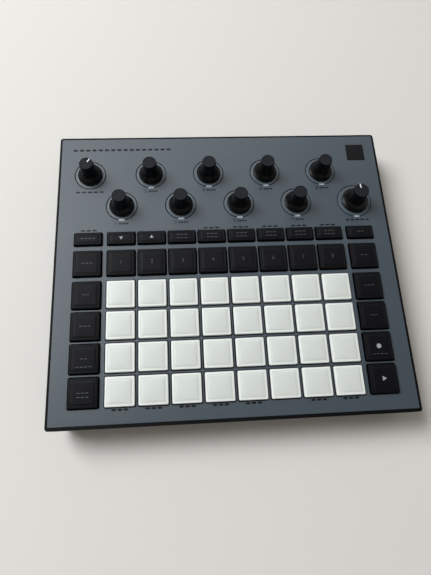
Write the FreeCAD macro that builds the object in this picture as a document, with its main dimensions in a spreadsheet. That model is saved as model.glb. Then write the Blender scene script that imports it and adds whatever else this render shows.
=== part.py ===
import FreeCAD
import Part
import math
import os
import Sketcher

# Desktop drum machine: a black tray, a grey cover, 32 pads, 28 buttons and ten knobs.
# Millimetres. X runs to the player's right, Y to the rear and Z up.
# The origin is the middle of the footprint, on the surface that the feet stand on.

COLUMNS = 8
PAD_ROWS = 4

# Driving dimensions, each a named cell of the sheet.
DRIVING = {
    # heights of the whole object
    "foot_height": 2.5,
    "shell_height": 26.5,
    "knob_height": 16.0,
    # the grid of pads and buttons
    "pad_pitch_across": 21.2,
    "pad_pitch_deep": 21.4,
    "pad_space_across": 2.4,
    "pad_space_deep": 2.6,
    "pad_row_space": 4.0,
    "track_depth": 18.4,
    "thin_row_space": 4.5,
    "thin_depth": 9.2,
    "side_space": 4.15,
    "side_width": 18.7,
    "front_margin": 12.6,
    "side_margin": 13.55,
    "knob_row_space": 21.0,
    "knob_row_pitch": 25.5,
    "rear_margin": 31.8,
    # keys
    "key_corner": 1.1,
    "pad_rise": 2.4,
    "button_rise": 2.2,
    "key_edge_round": 0.5,
    "pad_travel": 0.8,
    "button_travel": 1.2,
    "key_window_gap": 0.4,
    "flange_space": 0.8,
    "flange_thickness": 1.0,
    "flange_gap": 0.25,
    "plunger_radius": 3.5,
    "plunger_length": 1.6,
    "dome_radius": 4.2,
    "dome_gap": 0.3,
    # case
    "case_corner": 2.0,
    "side_taper": 4.5,
    "rear_taper": 1.0,
    "lip_height": 15.0,
    "wall": 2.4,
    "floor_thickness": 2.0,
    "rim_side": 1.3,
    "rim_front": 2.0,
    "rim_rear": 1.0,
    "ledge": 2.0,
    # cover
    "cover_thickness": 2.4,
    "cover_gap": 0.15,
    "groove_width": 0.35,
    "groove_depth": 0.4,
    # circuit boards and what lies on them
    "board_room": 7.6,
    "board_thickness": 1.6,
    "board_edge_gap": 1.0,
    "mat_thickness": 0.8,
    "mat_margin": 1.4,
    "chip_height": 1.5,
    "chip_corner": 0.5,
    "chip_place": 32.0,
    "processor_side": 14.0,
    "memory_width": 18.0,
    "memory_depth": 10.0,
    "jack_board_rise": 1.5,
    "jack_board_depth": 19.0,
    "jack_board_half_width": 100.0,
    "outer_post_share": 0.8,
    "inner_post_share": 0.3,
    # knobs and the rotary controls under them
    "knob_gap": 0.5,
    "knob_skirt_radius": 8.75,
    "knob_grip_radius": 4.85,
    "filter_skirt_radius": 9.9,
    "filter_grip_radius": 5.4,
    "knob_skirt_edge": 1.2,
    "knob_flare_height": 7.5,
    "knob_flare_radius": 7.0,
    "knob_taper": 0.55,
    "knob_top_round": 0.5,
    "knob_bore_depth": 11.0,
    "shaft_radius": 3.0,
    "shaft_fit": 0.06,
    "bushing_radius": 3.6,
    "bushing_hole_gap": 0.25,
    "control_width": 12.0,
    "control_height": 6.2,
    "control_floor": 1.2,
    "ring_radius": 11.0,
    "volume_ring_radius": 11.0,
    "filter_ring_radius": 12.6,
    # light windows
    "light_length": 4.4,
    "light_width": 1.6,
    "light_gap": 0.1,
    # screws
    "screw_inset_side": 9.4,
    "screw_inset_front": 8.4,
    "screw_inset_corner": 14.0,
    "screw_inset_rear": 7.6,
    "screw_radius": 1.3,
    "screw_head_radius": 2.1,
    "screw_head_height": 1.6,
    "screw_hole_gap": 0.15,
    "screw_head_gap": 0.25,
    "screw_tip_room": 0.6,
    "boss_roof": 1.0,
    "base_boss_radius": 3.2,
    "cover_boss_radius": 2.7,
    # rubber feet
    "foot_radius": 7.0,
    "foot_inset_side": 22.0,
    "foot_inset_front": 22.0,
    "foot_seat": 0.6,
    "foot_gap": 0.1,
    # battery
    "battery_width": 96.0,
    "battery_depth": 62.0,
    "battery_height": 8.5,
    "battery_corner": 3.0,
    "battery_gap": 0.4,
    "battery_rib": 1.4,
    "battery_rib_height": 5.0,
    "battery_behind_centre": -28.0,
    # rear sockets
    "socket_axis_rise": 8.0,
    "socket_recess": 0.3,
    "socket_hole_gap": 0.25,
    "jack_bore_radius": 3.25,
    "jack_bush_radius": 5.6,
    "jack_body_width": 14.5,
    "jack_body_depth": 15.0,
    "jack_body_rise": 6.2,
    "mini_bore_radius": 1.8,
    "mini_bush_radius": 3.1,
    "mini_body_width": 8.0,
    "mini_body_depth": 12.0,
    "mini_body_rise": 3.4,
    "midi_shroud_radius": 7.7,
    "midi_inner_radius": 6.7,
    "midi_core_radius": 5.9,
    "midi_pin_radius": 0.75,
    "midi_pin_circle": 3.8,
    "midi_pin_turn": 45.0,
    "midi_body_width": 17.6,
    "midi_body_depth": 12.0,
    "midi_body_rise": 8.4,
    "midi_mouth_depth": 9.0,
    "usb_width": 9.0,
    "usb_height": 3.3,
    "usb_shell": 0.35,
    "usb_body_depth": 9.0,
    "usb_tongue_width": 6.7,
    "usb_tongue_height": 0.7,
    "card_width": 12.0,
    "card_height": 1.8,
    "card_slot_width": 11.2,
    "card_slot_height": 0.9,
    "card_body_depth": 14.0,
    "power_radius": 3.4,
    "power_gap": 0.3,
    "power_travel": 1.0,
    "power_length": 7.0,
    "power_flange_radius": 4.6,
    "power_flange_thickness": 1.0,
    "power_switch_width": 8.0,
    "power_switch_depth": 6.0,
    "lock_slot_width": 7.0,
    "lock_slot_height": 3.0,
    # places along the rear wall, from the middle
    "power_place": 94.0,
    "usb_place": 82.0,
    "card_place": 68.5,
    "midi_thru_place": 50.5,
    "midi_out_place": 31.5,
    "midi_in_place": 12.5,
    "sync_place": -3.0,
    "right_input_place": -18.0,
    "left_input_place": -35.0,
    "headphone_place": -50.0,
    "right_output_place": -65.0,
    "left_output_place": -82.0,
    "lock_place": -97.0,
}

# Places and sizes that follow from the driving dimensions.
DERIVED = {
    "pad_width": "sizes.pad_pitch_across - sizes.pad_space_across",
    "pad_depth": "sizes.pad_pitch_deep - sizes.pad_space_deep",
    "columns_span": f"{COLUMNS - 1} * sizes.pad_pitch_across",
    "rows_span": f"{PAD_ROWS - 1} * sizes.pad_pitch_deep",
    "first_column": "-layout.columns_span / 2",
    "side_column": "layout.columns_span / 2 + layout.pad_width / 2 + sizes.side_space"
                   " + sizes.side_width / 2",
    "case_width": "2 * (layout.side_column + sizes.side_width / 2 + sizes.side_margin)",
    "grid_depth": "layout.rows_span + layout.pad_depth",
    "track_reach": "layout.grid_depth + sizes.pad_row_space + sizes.track_depth",
    "thin_reach": "layout.track_reach + sizes.thin_row_space + sizes.thin_depth",
    "case_depth": "sizes.front_margin + layout.thin_reach + sizes.knob_row_space"
                  " + sizes.knob_row_pitch + sizes.rear_margin",
    "rear_face": "layout.case_depth / 2",
    "front_keys": "sizes.front_margin - layout.rear_face",
    "first_row": "layout.front_keys + layout.pad_depth / 2",
    "track_row": "layout.front_keys + layout.track_reach - sizes.track_depth / 2",
    "thin_row": "layout.front_keys + layout.thin_reach - sizes.thin_depth / 2",
    "lower_knob_row": "layout.front_keys + layout.thin_reach + sizes.knob_row_space",
    "upper_knob_row": "layout.lower_knob_row + sizes.knob_row_pitch",
    "panel_top": "sizes.foot_height + sizes.shell_height",
    "cover_under": "layout.panel_top - sizes.cover_thickness",
    "board_top": "layout.cover_under - sizes.board_room",
    "board_under": "layout.board_top - sizes.board_thickness",
    "flange_top": "layout.cover_under - sizes.flange_gap",
    "flange_under": "layout.flange_top - sizes.flange_thickness",
    "plunger_end": "layout.flange_under - sizes.plunger_length",
    "mat_top": "layout.board_top + sizes.mat_thickness",
    "lip_start": "layout.panel_top - sizes.lip_height",
    "floor_top": "sizes.foot_height + sizes.floor_thickness",
    "rim_middle": "(sizes.rim_front - sizes.rim_rear) / 2",
    "seat_width": "layout.case_width - 2 * sizes.rim_side",
    "seat_depth": "layout.case_depth - sizes.rim_front - sizes.rim_rear",
    "seat_corner": "sizes.case_corner - sizes.rim_side",
    "cavity_width": "layout.seat_width - 2 * sizes.ledge",
    "cavity_depth": "layout.seat_depth - 2 * sizes.ledge",
    "cavity_corner": "sizes.case_corner / 2",
    "taper_middle": "(sizes.side_taper - sizes.rear_taper) / 2",
    "base_width": "layout.case_width - 2 * sizes.side_taper",
    "base_depth": "layout.case_depth - sizes.side_taper - sizes.rear_taper",
    "cavity_rear": "layout.rear_face - sizes.rim_rear - sizes.ledge",
    "side_screw": "layout.case_width / 2 - sizes.screw_inset_side",
    "corner_screw": "layout.case_width / 2 - sizes.screw_inset_corner",
    "front_screw": "sizes.screw_inset_front - layout.rear_face",
    "rear_screw": "layout.rear_face - sizes.screw_inset_rear",
    "middle_screw": "(layout.lower_knob_row + layout.upper_knob_row) / 2",
    "side_screw_row": "layout.lower_knob_row - layout.side_screw_step",
    "side_screw_step": "sizes.knob_row_pitch / 2",
    "jack_board_under": "layout.floor_top + sizes.jack_board_rise",
    "jack_board_top": "layout.jack_board_under + sizes.board_thickness",
    "socket_axis": "layout.jack_board_top + sizes.socket_axis_rise",
    "jack_board_rear": "layout.cavity_rear - sizes.board_edge_gap",
    "jack_board_front": "layout.jack_board_rear - sizes.jack_board_depth",
    "socket_face": "layout.rear_face - sizes.socket_recess",
    "foot_across": "layout.case_width / 2 - sizes.foot_inset_side",
    "foot_along": "layout.rear_face - sizes.foot_inset_front",
}

UP = FreeCAD.Vector(0, 0, 1)

doc = FreeCAD.newDocument("drum_machine")
sizes = doc.addObject("Spreadsheet::Sheet", "sizes")
layout = doc.addObject("App::VarSet", "layout")
subparts = []


def fill_sheet():
    for row, (name, number) in enumerate(DRIVING.items(), start=1):
        sizes.set(f"A{row}", name)
        sizes.set(f"B{row}", str(number))
        sizes.setAlias(f"B{row}", name)
    doc.recompute()
    for name in DERIVED:
        layout.addProperty("App::PropertyFloat", name, "layout", "")
    for name, expression in DERIVED.items():
        layout.setExpression(name, expression)
    doc.recompute()


def value(expression):
    return float(layout.evalExpression(str(expression)))


# Sketches and features

def new_body(name, across="0", along="0", height="0"):
    body = doc.addObject("PartDesign::Body", name)
    body.Label = name
    body.setExpression("Placement.Base.x", across)
    body.setExpression("Placement.Base.y", along)
    body.setExpression("Placement.Base.z", height)
    return body


def new_sketch(body, name, offset="0", role="XY_Plane"):
    sketch = body.newObject("Sketcher::SketchObject", name)
    plane = [item for item in body.Origin.OriginFeatures if item.Role == role][0]
    sketch.AttachmentSupport = [(plane, "")]
    sketch.MapMode = "FlatFace"
    sketch.setExpression("AttachmentOffset.Base.z", offset)
    return sketch


def bind(sketch, kind, *places, to):
    index = sketch.addConstraint(Sketcher.Constraint(kind, *places, value(to)))
    sketch.setExpression(f"Constraints[{index}]", str(to))


def draw_circle(sketch, across, along, radius):
    centre = FreeCAD.Vector(value(across), value(along), 0)
    edge = sketch.addGeometry(Part.Circle(centre, UP, value(radius)), False)
    bind(sketch, "DistanceX", -1, 1, edge, 3, to=across)
    bind(sketch, "DistanceY", -1, 1, edge, 3, to=along)
    bind(sketch, "Radius", edge, to=radius)


def draw_rectangle(sketch, across, along, width, depth, corner):
    """A rectangle with rounded corners, centred at (across, along)."""
    x, y, r = value(across), value(along), value(corner)
    left, right = x - value(width) / 2, x + value(width) / 2
    front, rear = y - value(depth) / 2, y + value(depth) / 2

    def line(start, end):
        return Part.LineSegment(FreeCAD.Vector(*start, 0), FreeCAD.Vector(*end, 0))

    def arc(centre, start):
        circle = Part.Circle(FreeCAD.Vector(*centre, 0), UP, r)
        return Part.ArcOfCircle(circle, math.radians(start), math.radians(start + 90))

    first = sketch.addGeometry([
        line((left + r, front), (right - r, front)),
        arc((right - r, front + r), 270),
        line((right, front + r), (right, rear - r)),
        arc((right - r, rear - r), 0),
        line((right - r, rear), (left + r, rear)),
        arc((left + r, rear - r), 90),
        line((left, rear - r), (left, front + r)),
        arc((left + r, front + r), 180),
    ], False)[0]
    joins = []
    for step in range(8):
        joins.append(Sketcher.Constraint("Tangent", first + step, 2, first + (step + 1) % 8, 1))
    joins.append(Sketcher.Constraint("Horizontal", first))
    joins.append(Sketcher.Constraint("Vertical", first + 2))
    joins.append(Sketcher.Constraint("Horizontal", first + 4))
    joins.append(Sketcher.Constraint("Vertical", first + 6))
    for step in (3, 5, 7):
        joins.append(Sketcher.Constraint("Equal", first + 1, first + step))
    sketch.addConstraint(joins)
    bind(sketch, "Radius", first + 1, to=corner)
    bind(sketch, "DistanceX", -1, 1, first + 6, 1, to=f"{across} - ({width}) / 2")
    bind(sketch, "DistanceX", -1, 1, first + 2, 1, to=f"{across} + ({width}) / 2")
    bind(sketch, "DistanceY", -1, 1, first, 1, to=f"{along} - ({depth}) / 2")
    bind(sketch, "DistanceY", -1, 1, first + 4, 1, to=f"{along} + ({depth}) / 2")


def draw_window(sketch, across, along, width, depth):
    """A rectangle with sharp corners, centred at (across, along)."""
    x, y = value(across), value(along)
    left, right = x - value(width) / 2, x + value(width) / 2
    front, rear = y - value(depth) / 2, y + value(depth) / 2
    corners = [FreeCAD.Vector(left, front, 0), FreeCAD.Vector(right, front, 0),
               FreeCAD.Vector(right, rear, 0), FreeCAD.Vector(left, rear, 0)]
    sides = [Part.LineSegment(corners[step], corners[(step + 1) % 4]) for step in range(4)]
    first = sketch.addGeometry(sides, False)[0]
    joins = []
    for step, lie in enumerate(("Horizontal", "Vertical", "Horizontal", "Vertical")):
        joins.append(Sketcher.Constraint("Coincident", first + step, 2, first + (step + 1) % 4, 1))
        joins.append(Sketcher.Constraint(lie, first + step))
    sketch.addConstraint(joins)
    bind(sketch, "DistanceX", -1, 1, first, 1, to=f"{across} - ({width}) / 2")
    bind(sketch, "DistanceX", -1, 1, first, 2, to=f"{across} + ({width}) / 2")
    bind(sketch, "DistanceY", -1, 1, first, 1, to=f"{along} - ({depth}) / 2")
    bind(sketch, "DistanceY", -1, 1, first + 2, 1, to=f"{along} + ({depth}) / 2")


def draw_slot(sketch, across, along, length, width):
    """A slot with round ends, its length along the sketch's first axis."""
    x, y, r = value(across), value(along), value(width) / 2
    reach = value(length) / 2 - r
    lower = Part.LineSegment(FreeCAD.Vector(x - reach, y - r, 0), FreeCAD.Vector(x + reach, y - r, 0))
    upper = Part.LineSegment(FreeCAD.Vector(x + reach, y + r, 0), FreeCAD.Vector(x - reach, y + r, 0))
    right = Part.ArcOfCircle(Part.Circle(FreeCAD.Vector(x + reach, y, 0), UP, r), -math.pi / 2, math.pi / 2)
    left = Part.ArcOfCircle(Part.Circle(FreeCAD.Vector(x - reach, y, 0), UP, r), math.pi / 2, 3 * math.pi / 2)
    first = sketch.addGeometry([lower, right, upper, left], False)[0]
    joins = [Sketcher.Constraint("Tangent", first + step, 2, first + (step + 1) % 4, 1) for step in range(4)]
    joins.append(Sketcher.Constraint("Horizontal", first))
    joins.append(Sketcher.Constraint("Equal", first + 1, first + 3))
    sketch.addConstraint(joins)
    bind(sketch, "Radius", first + 1, to=f"({width}) / 2")
    bind(sketch, "DistanceX", -1, 1, first + 3, 3, to=f"{across} - (({length}) - ({width})) / 2")
    bind(sketch, "DistanceX", -1, 1, first + 1, 3, to=f"{across} + (({length}) - ({width})) / 2")
    bind(sketch, "DistanceY", -1, 1, first + 1, 3, to=along)


def add_pad(body, name, sketch, length, down=False):
    feature = body.newObject("PartDesign::Pad", name)
    feature.Profile = sketch
    feature.Refine = False
    feature.setExpression("Length", length)
    feature.Reversed = down
    return feature


def add_pocket(body, name, sketch, length, down=False):
    """Cuts up from the sketch's plane, or down where that is asked for."""
    feature = body.newObject("PartDesign::Pocket", name)
    feature.Profile = sketch
    feature.Refine = False
    feature.setExpression("Length", length)
    feature.Reversed = not down
    return feature


def add_grid(body, name, feature, columns, across, rows=1, along=None):
    """Repeats a feature along X, and along Y too where rows are given."""
    axes = {item.Role: item for item in body.Origin.OriginFeatures}
    pattern = body.newObject("PartDesign::LinearPattern", name)
    pattern.Originals = [feature]
    pattern.Refine = False
    pattern.Direction = (axes["X_Axis"], [""])
    pattern.setExpression("Length", across)
    pattern.Occurrences = columns
    if along:
        pattern.Direction2 = (axes["Y_Axis"], [""])
        pattern.setExpression("Length2", along)
        pattern.Occurrences2 = rows
    body.Tip = pattern
    return pattern


def add_fillet(body, name, base, radius, height):
    """Rounds every edge of the base feature that lies level at this height."""
    doc.recompute([base.Profile[0], base])
    level = value(height)
    edges = []
    for number, edge in enumerate(base.Shape.Edges, start=1):
        box = edge.BoundBox
        if abs(box.ZMin - level) < 1e-6 and abs(box.ZMax - level) < 1e-6:
            edges.append(f"Edge{number}")
    feature = body.newObject("PartDesign::Fillet", name)
    feature.Base = (base, edges)
    feature.setExpression("Radius", radius)
    return feature


def add_revolution(body, name, sketch):
    feature = body.newObject("PartDesign::Revolution", name)
    feature.Profile = sketch
    feature.ReferenceAxis = (sketch, ["V_Axis"])
    feature.Angle = 360
    return feature


def place_copy(name, master, across, along):
    """A copy of a piece that was modelled at the middle of the case, moved to its place."""
    copy = doc.addObject("Part::Compound", name)
    copy.Label = name
    copy.Links = [master]
    copy.setExpression("Placement.Base.x", across)
    copy.setExpression("Placement.Base.y", along)
    return copy


def group(name, pieces):
    """Several separate solids that share one node."""
    compound = doc.addObject("Part::Compound", name)
    compound.Label = name
    compound.Links = pieces
    subparts.append(compound)


def circles(body, name, spots, radius, offset):
    sketch = new_sketch(body, name, offset)
    for across, along in spots:
        draw_circle(sketch, across, along, radius)
    return sketch


# Where things stand

def column(index):
    return f"(layout.first_column + {index} * sizes.pad_pitch_across)"


def pad_row(index):
    return f"(layout.first_row + {index} * sizes.pad_pitch_deep)"


LEFT = "-layout.side_column"
RIGHT = "layout.side_column"
UPPER_MACROS = [(column(index), "layout.upper_knob_row") for index in (1, 3, 5, 7)]
LOWER_MACROS = [(column(index), "layout.lower_knob_row") for index in (0, 2, 4, 6)]
VOLUME = (LEFT, "layout.upper_knob_row")
FILTER = (RIGHT, "layout.lower_knob_row")
KNOBS = [VOLUME, FILTER] + LOWER_MACROS + UPPER_MACROS

# Screws that also clamp the main board, then those that reach straight to the cover.
BOARD_SCREWS = [
    ("-layout.corner_screw", "layout.front_screw"),
    ("0", "layout.front_screw"),
    ("layout.corner_screw", "layout.front_screw"),
    ("-layout.side_screw", "layout.side_screw_row"),
    ("layout.side_screw", "layout.side_screw_row"),
    ("0", "layout.middle_screw"),
]
REAR_SCREWS = [
    ("-layout.corner_screw", "layout.rear_screw"),
    ("layout.corner_screw", "layout.rear_screw"),
]
FEET = [(across, along) for across in ("-layout.foot_across", "layout.foot_across")
        for along in ("-layout.foot_along", "layout.foot_along")]
JACKS = ["sizes.left_output_place", "sizes.right_output_place", "sizes.left_input_place",
         "sizes.right_input_place"]
MINI_JACKS = ["sizes.headphone_place", "sizes.sync_place"]
MIDI_SOCKETS = ["sizes.midi_in_place", "sizes.midi_out_place", "sizes.midi_thru_place"]


# Case

def make_base_case():
    body = new_body("base_case")
    base_outline = new_sketch(body, "base_outline", "sizes.foot_height")
    draw_rectangle(base_outline, "0", "layout.taper_middle", "layout.base_width", "layout.base_depth",
                   "sizes.case_corner")
    lip_outline = new_sketch(body, "lip_outline", "layout.lip_start")
    draw_rectangle(lip_outline, "0", "0", "layout.case_width", "layout.case_depth", "sizes.case_corner")
    lower_shell = body.newObject("PartDesign::AdditiveLoft", "lower_shell")
    lower_shell.Profile = base_outline
    lower_shell.Sections = [lip_outline]
    add_pad(body, "lip", lip_outline, "sizes.lip_height")

    floor_outline = new_sketch(body, "floor_outline", "layout.floor_top")
    draw_rectangle(floor_outline, "0", "layout.taper_middle", "layout.base_width - 2 * sizes.wall",
                   "layout.base_depth - 2 * sizes.wall", "layout.cavity_corner")
    cavity_outline = new_sketch(body, "cavity_outline", "layout.lip_start")
    draw_rectangle(cavity_outline, "0", "layout.rim_middle", "layout.cavity_width", "layout.cavity_depth",
                   "layout.cavity_corner")
    lower_cavity = body.newObject("PartDesign::SubtractiveLoft", "lower_cavity")
    lower_cavity.Profile = floor_outline
    lower_cavity.Sections = [cavity_outline]
    add_pocket(body, "cavity", cavity_outline, "sizes.lip_height")
    seat_outline = new_sketch(body, "seat_outline", "layout.cover_under")
    draw_rectangle(seat_outline, "0", "layout.rim_middle", "layout.seat_width", "layout.seat_depth",
                   "layout.seat_corner")
    add_pocket(body, "cover_seat", seat_outline, "sizes.cover_thickness")

    board_bosses = circles(body, "board_boss_outline", BOARD_SCREWS, "sizes.base_boss_radius",
                           "layout.floor_top")
    add_pad(body, "board_bosses", board_bosses, "layout.board_under - layout.floor_top")
    rear_bosses = circles(body, "rear_boss_outline", REAR_SCREWS, "sizes.base_boss_radius",
                          "layout.floor_top")
    add_pad(body, "rear_bosses", rear_bosses, "layout.board_top - layout.floor_top")
    posts = new_sketch(body, "jack_board_posts", "layout.floor_top")
    post_line = "layout.jack_board_front + sizes.base_boss_radius"
    for share in ("sizes.outer_post_share", "sizes.inner_post_share"):
        for side in ("-", ""):
            draw_circle(posts, f"{side}{share} * sizes.jack_board_half_width", post_line,
                        "sizes.cover_boss_radius")
    add_pad(body, "jack_posts", posts, "sizes.jack_board_rise")
    battery_wall = new_sketch(body, "battery_wall_outline", "layout.floor_top")
    fence = "2 * (sizes.battery_gap + sizes.battery_rib)"
    draw_rectangle(battery_wall, "0", "sizes.battery_behind_centre", f"sizes.battery_width + {fence}",
                   f"sizes.battery_depth + {fence}", "sizes.battery_corner + sizes.battery_rib")
    draw_rectangle(battery_wall, "0", "sizes.battery_behind_centre",
                   "sizes.battery_width + 2 * sizes.battery_gap",
                   "sizes.battery_depth + 2 * sizes.battery_gap", "sizes.battery_corner")
    add_pad(body, "battery_ribs", battery_wall, "sizes.battery_rib_height")

    screws = BOARD_SCREWS + REAR_SCREWS
    head_holes = circles(body, "screw_head_holes", screws, "sizes.screw_head_radius + sizes.screw_head_gap",
                         "sizes.foot_height")
    add_pocket(body, "head_holes", head_holes, "sizes.floor_thickness")
    shank_holes = circles(body, "screw_shank_holes", screws, "sizes.screw_radius + sizes.screw_hole_gap",
                          "sizes.foot_height")
    add_pocket(body, "shank_holes", shank_holes, "layout.board_top - sizes.foot_height")
    foot_seats = circles(body, "foot_seat_outline", FEET, "sizes.foot_radius + sizes.foot_gap",
                         "sizes.foot_height")
    add_pocket(body, "foot_seats", foot_seats, "sizes.foot_seat")

    rear_cuts = new_sketch(body, "rear_cuts", "-layout.rear_face", "XZ_Plane")
    axis = "layout.socket_axis"
    for place in JACKS:
        draw_circle(rear_cuts, place, axis, "sizes.jack_bush_radius + sizes.socket_hole_gap")
    for place in MINI_JACKS:
        draw_circle(rear_cuts, place, axis, "sizes.mini_bush_radius + sizes.socket_hole_gap")
    for place in MIDI_SOCKETS:
        draw_circle(rear_cuts, place, axis, "sizes.midi_shroud_radius + sizes.socket_hole_gap")
    draw_circle(rear_cuts, "sizes.power_place", axis, "sizes.power_radius + sizes.power_gap")
    gap = "2 * sizes.socket_hole_gap"
    draw_slot(rear_cuts, "sizes.usb_place", axis, f"sizes.usb_width + {gap}", f"sizes.usb_height + {gap}")
    draw_slot(rear_cuts, "sizes.card_place", axis, f"sizes.card_width + {gap}",
              f"sizes.card_height + {gap}")
    draw_slot(rear_cuts, "sizes.lock_place", axis, "sizes.lock_slot_width", "sizes.lock_slot_height")
    cuts = body.newObject("PartDesign::Pocket", "socket_cuts")
    cuts.Profile = rear_cuts
    cuts.Midplane = True
    cuts.setExpression("Length", "2 * (sizes.rim_rear + sizes.ledge + sizes.rear_taper + sizes.wall)")
    body.Tip = cuts
    subparts.append(body)


def make_top_cover():
    body = new_body("top_cover")
    outline = new_sketch(body, "cover_outline", "layout.cover_under")
    draw_rectangle(outline, "0", "layout.rim_middle", "layout.seat_width - 2 * sizes.cover_gap",
                   "layout.seat_depth - 2 * sizes.cover_gap", "layout.seat_corner")
    add_pad(body, "plate", outline, "sizes.cover_thickness")
    bosses = circles(body, "cover_boss_outline", BOARD_SCREWS + REAR_SCREWS, "sizes.cover_boss_radius",
                     "layout.board_top")
    add_pad(body, "bosses", bosses, "sizes.board_room")
    screw_holes = circles(body, "cover_screw_holes", BOARD_SCREWS + REAR_SCREWS,
                          "sizes.screw_radius + sizes.shaft_fit", "layout.board_top")
    add_pocket(body, "screw_holes", screw_holes, "sizes.board_room - sizes.boss_roof")

    gap = "2 * sizes.key_window_gap"
    through = "sizes.cover_thickness"
    pad_window = new_sketch(body, "pad_window_outline", "layout.cover_under")
    draw_window(pad_window, column(0), pad_row(0), f"layout.pad_width + {gap}", f"layout.pad_depth + {gap}")
    window = add_pocket(body, "pad_window", pad_window, through)
    add_grid(body, "pad_windows", window, COLUMNS, "layout.columns_span", PAD_ROWS,
             "layout.rows_span")
    side_window = new_sketch(body, "side_window_outline", "layout.cover_under")
    draw_window(side_window, LEFT, pad_row(0), f"sizes.side_width + {gap}", f"layout.pad_depth + {gap}")
    window = add_pocket(body, "side_window", side_window, through)
    add_grid(body, "side_windows", window, 2, "2 * layout.side_column", PAD_ROWS,
             "layout.rows_span")
    for name, row, depth in (("track", "layout.track_row", "sizes.track_depth"),
                             ("thin", "layout.thin_row", "sizes.thin_depth")):
        inner = new_sketch(body, f"{name}_window_outline", "layout.cover_under")
        draw_window(inner, column(0), row, f"layout.pad_width + {gap}", f"{depth} + {gap}")
        window = add_pocket(body, f"{name}_window", inner, through)
        add_grid(body, f"{name}_windows", window, COLUMNS, "layout.columns_span")
        ends = new_sketch(body, f"{name}_end_outline", "layout.cover_under")
        for side in (LEFT, RIGHT):
            draw_window(ends, side, row, f"sizes.side_width + {gap}", f"{depth} + {gap}")
        add_pocket(body, f"{name}_ends", ends, through)

    shafts = circles(body, "control_holes", KNOBS, "sizes.bushing_radius + sizes.bushing_hole_gap",
                     "layout.cover_under")
    add_pocket(body, "control_openings", shafts, through)
    grooves = new_sketch(body, "ring_grooves", "layout.panel_top")
    for (across, along), radius in ring_radii():
        draw_circle(grooves, across, along, radius)
        draw_circle(grooves, across, along, f"{radius} - sizes.groove_width")
    add_pocket(body, "rings", grooves, "sizes.groove_depth", down=True)
    slots = new_sketch(body, "light_slots", "layout.cover_under")
    for across, along in light_places():
        draw_slot(slots, across, along, "sizes.light_length + 2 * sizes.light_gap",
                  "sizes.light_width + 2 * sizes.light_gap")
    body.Tip = add_pocket(body, "light_openings", slots, through)
    subparts.append(body)


def ring_radii():
    rings = [(VOLUME, "sizes.volume_ring_radius"), (FILTER, "sizes.filter_ring_radius")]
    return rings + [(place, "sizes.ring_radius") for place in LOWER_MACROS + UPPER_MACROS]


def light_places():
    """Each light window straddles the front of its knob's ring."""
    places = [(FILTER[0], f"{FILTER[1]} - sizes.filter_ring_radius")]
    for across, along in LOWER_MACROS + UPPER_MACROS:
        places.append((across, f"{along} - sizes.ring_radius"))
    return places


def make_light_windows():
    pieces = []
    for number, (across, along) in enumerate(light_places(), start=1):
        body = new_body(f"light_window_{number}", across, along, "layout.cover_under")
        outline = new_sketch(body, "outline")
        draw_slot(outline, "0", "0", "sizes.light_length", "sizes.light_width")
        add_pad(body, "lens", outline, "sizes.cover_thickness")
        pieces.append(body)
    group("light_windows", pieces)


# Boards

def make_circuit_boards():
    body = new_body("circuit_boards")
    main_outline = new_sketch(body, "main_outline", "layout.board_under")
    front_edge = "(layout.rim_middle - layout.cavity_depth / 2 + sizes.board_edge_gap)"
    rear_edge = "(layout.jack_board_front - sizes.board_edge_gap)"
    draw_rectangle(main_outline, "0", f"({front_edge} + {rear_edge}) / 2",
                   "layout.cavity_width - 2 * sizes.board_edge_gap", f"{rear_edge} - {front_edge}",
                   "layout.cavity_corner")
    for across, along in BOARD_SCREWS:
        draw_circle(main_outline, across, along, "sizes.screw_radius + sizes.screw_hole_gap")
    add_pad(body, "main_board", main_outline, "sizes.board_thickness")
    chips = new_sketch(body, "chip_outlines", "layout.board_under")
    draw_rectangle(chips, "sizes.chip_place", "layout.lower_knob_row", "sizes.processor_side",
                   "sizes.processor_side", "sizes.chip_corner")
    draw_rectangle(chips, "-sizes.chip_place", "layout.lower_knob_row", "sizes.memory_width",
                   "sizes.memory_depth", "sizes.chip_corner")
    add_pad(body, "chips", chips, "sizes.chip_height", down=True)
    jack_outline = new_sketch(body, "jack_outline", "layout.jack_board_under")
    draw_rectangle(jack_outline, "0", "layout.jack_board_rear - sizes.jack_board_depth / 2",
                   "2 * sizes.jack_board_half_width", "sizes.jack_board_depth", "layout.cavity_corner")
    body.Tip = add_pad(body, "jack_board", jack_outline, "sizes.board_thickness")
    subparts.append(body)


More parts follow.
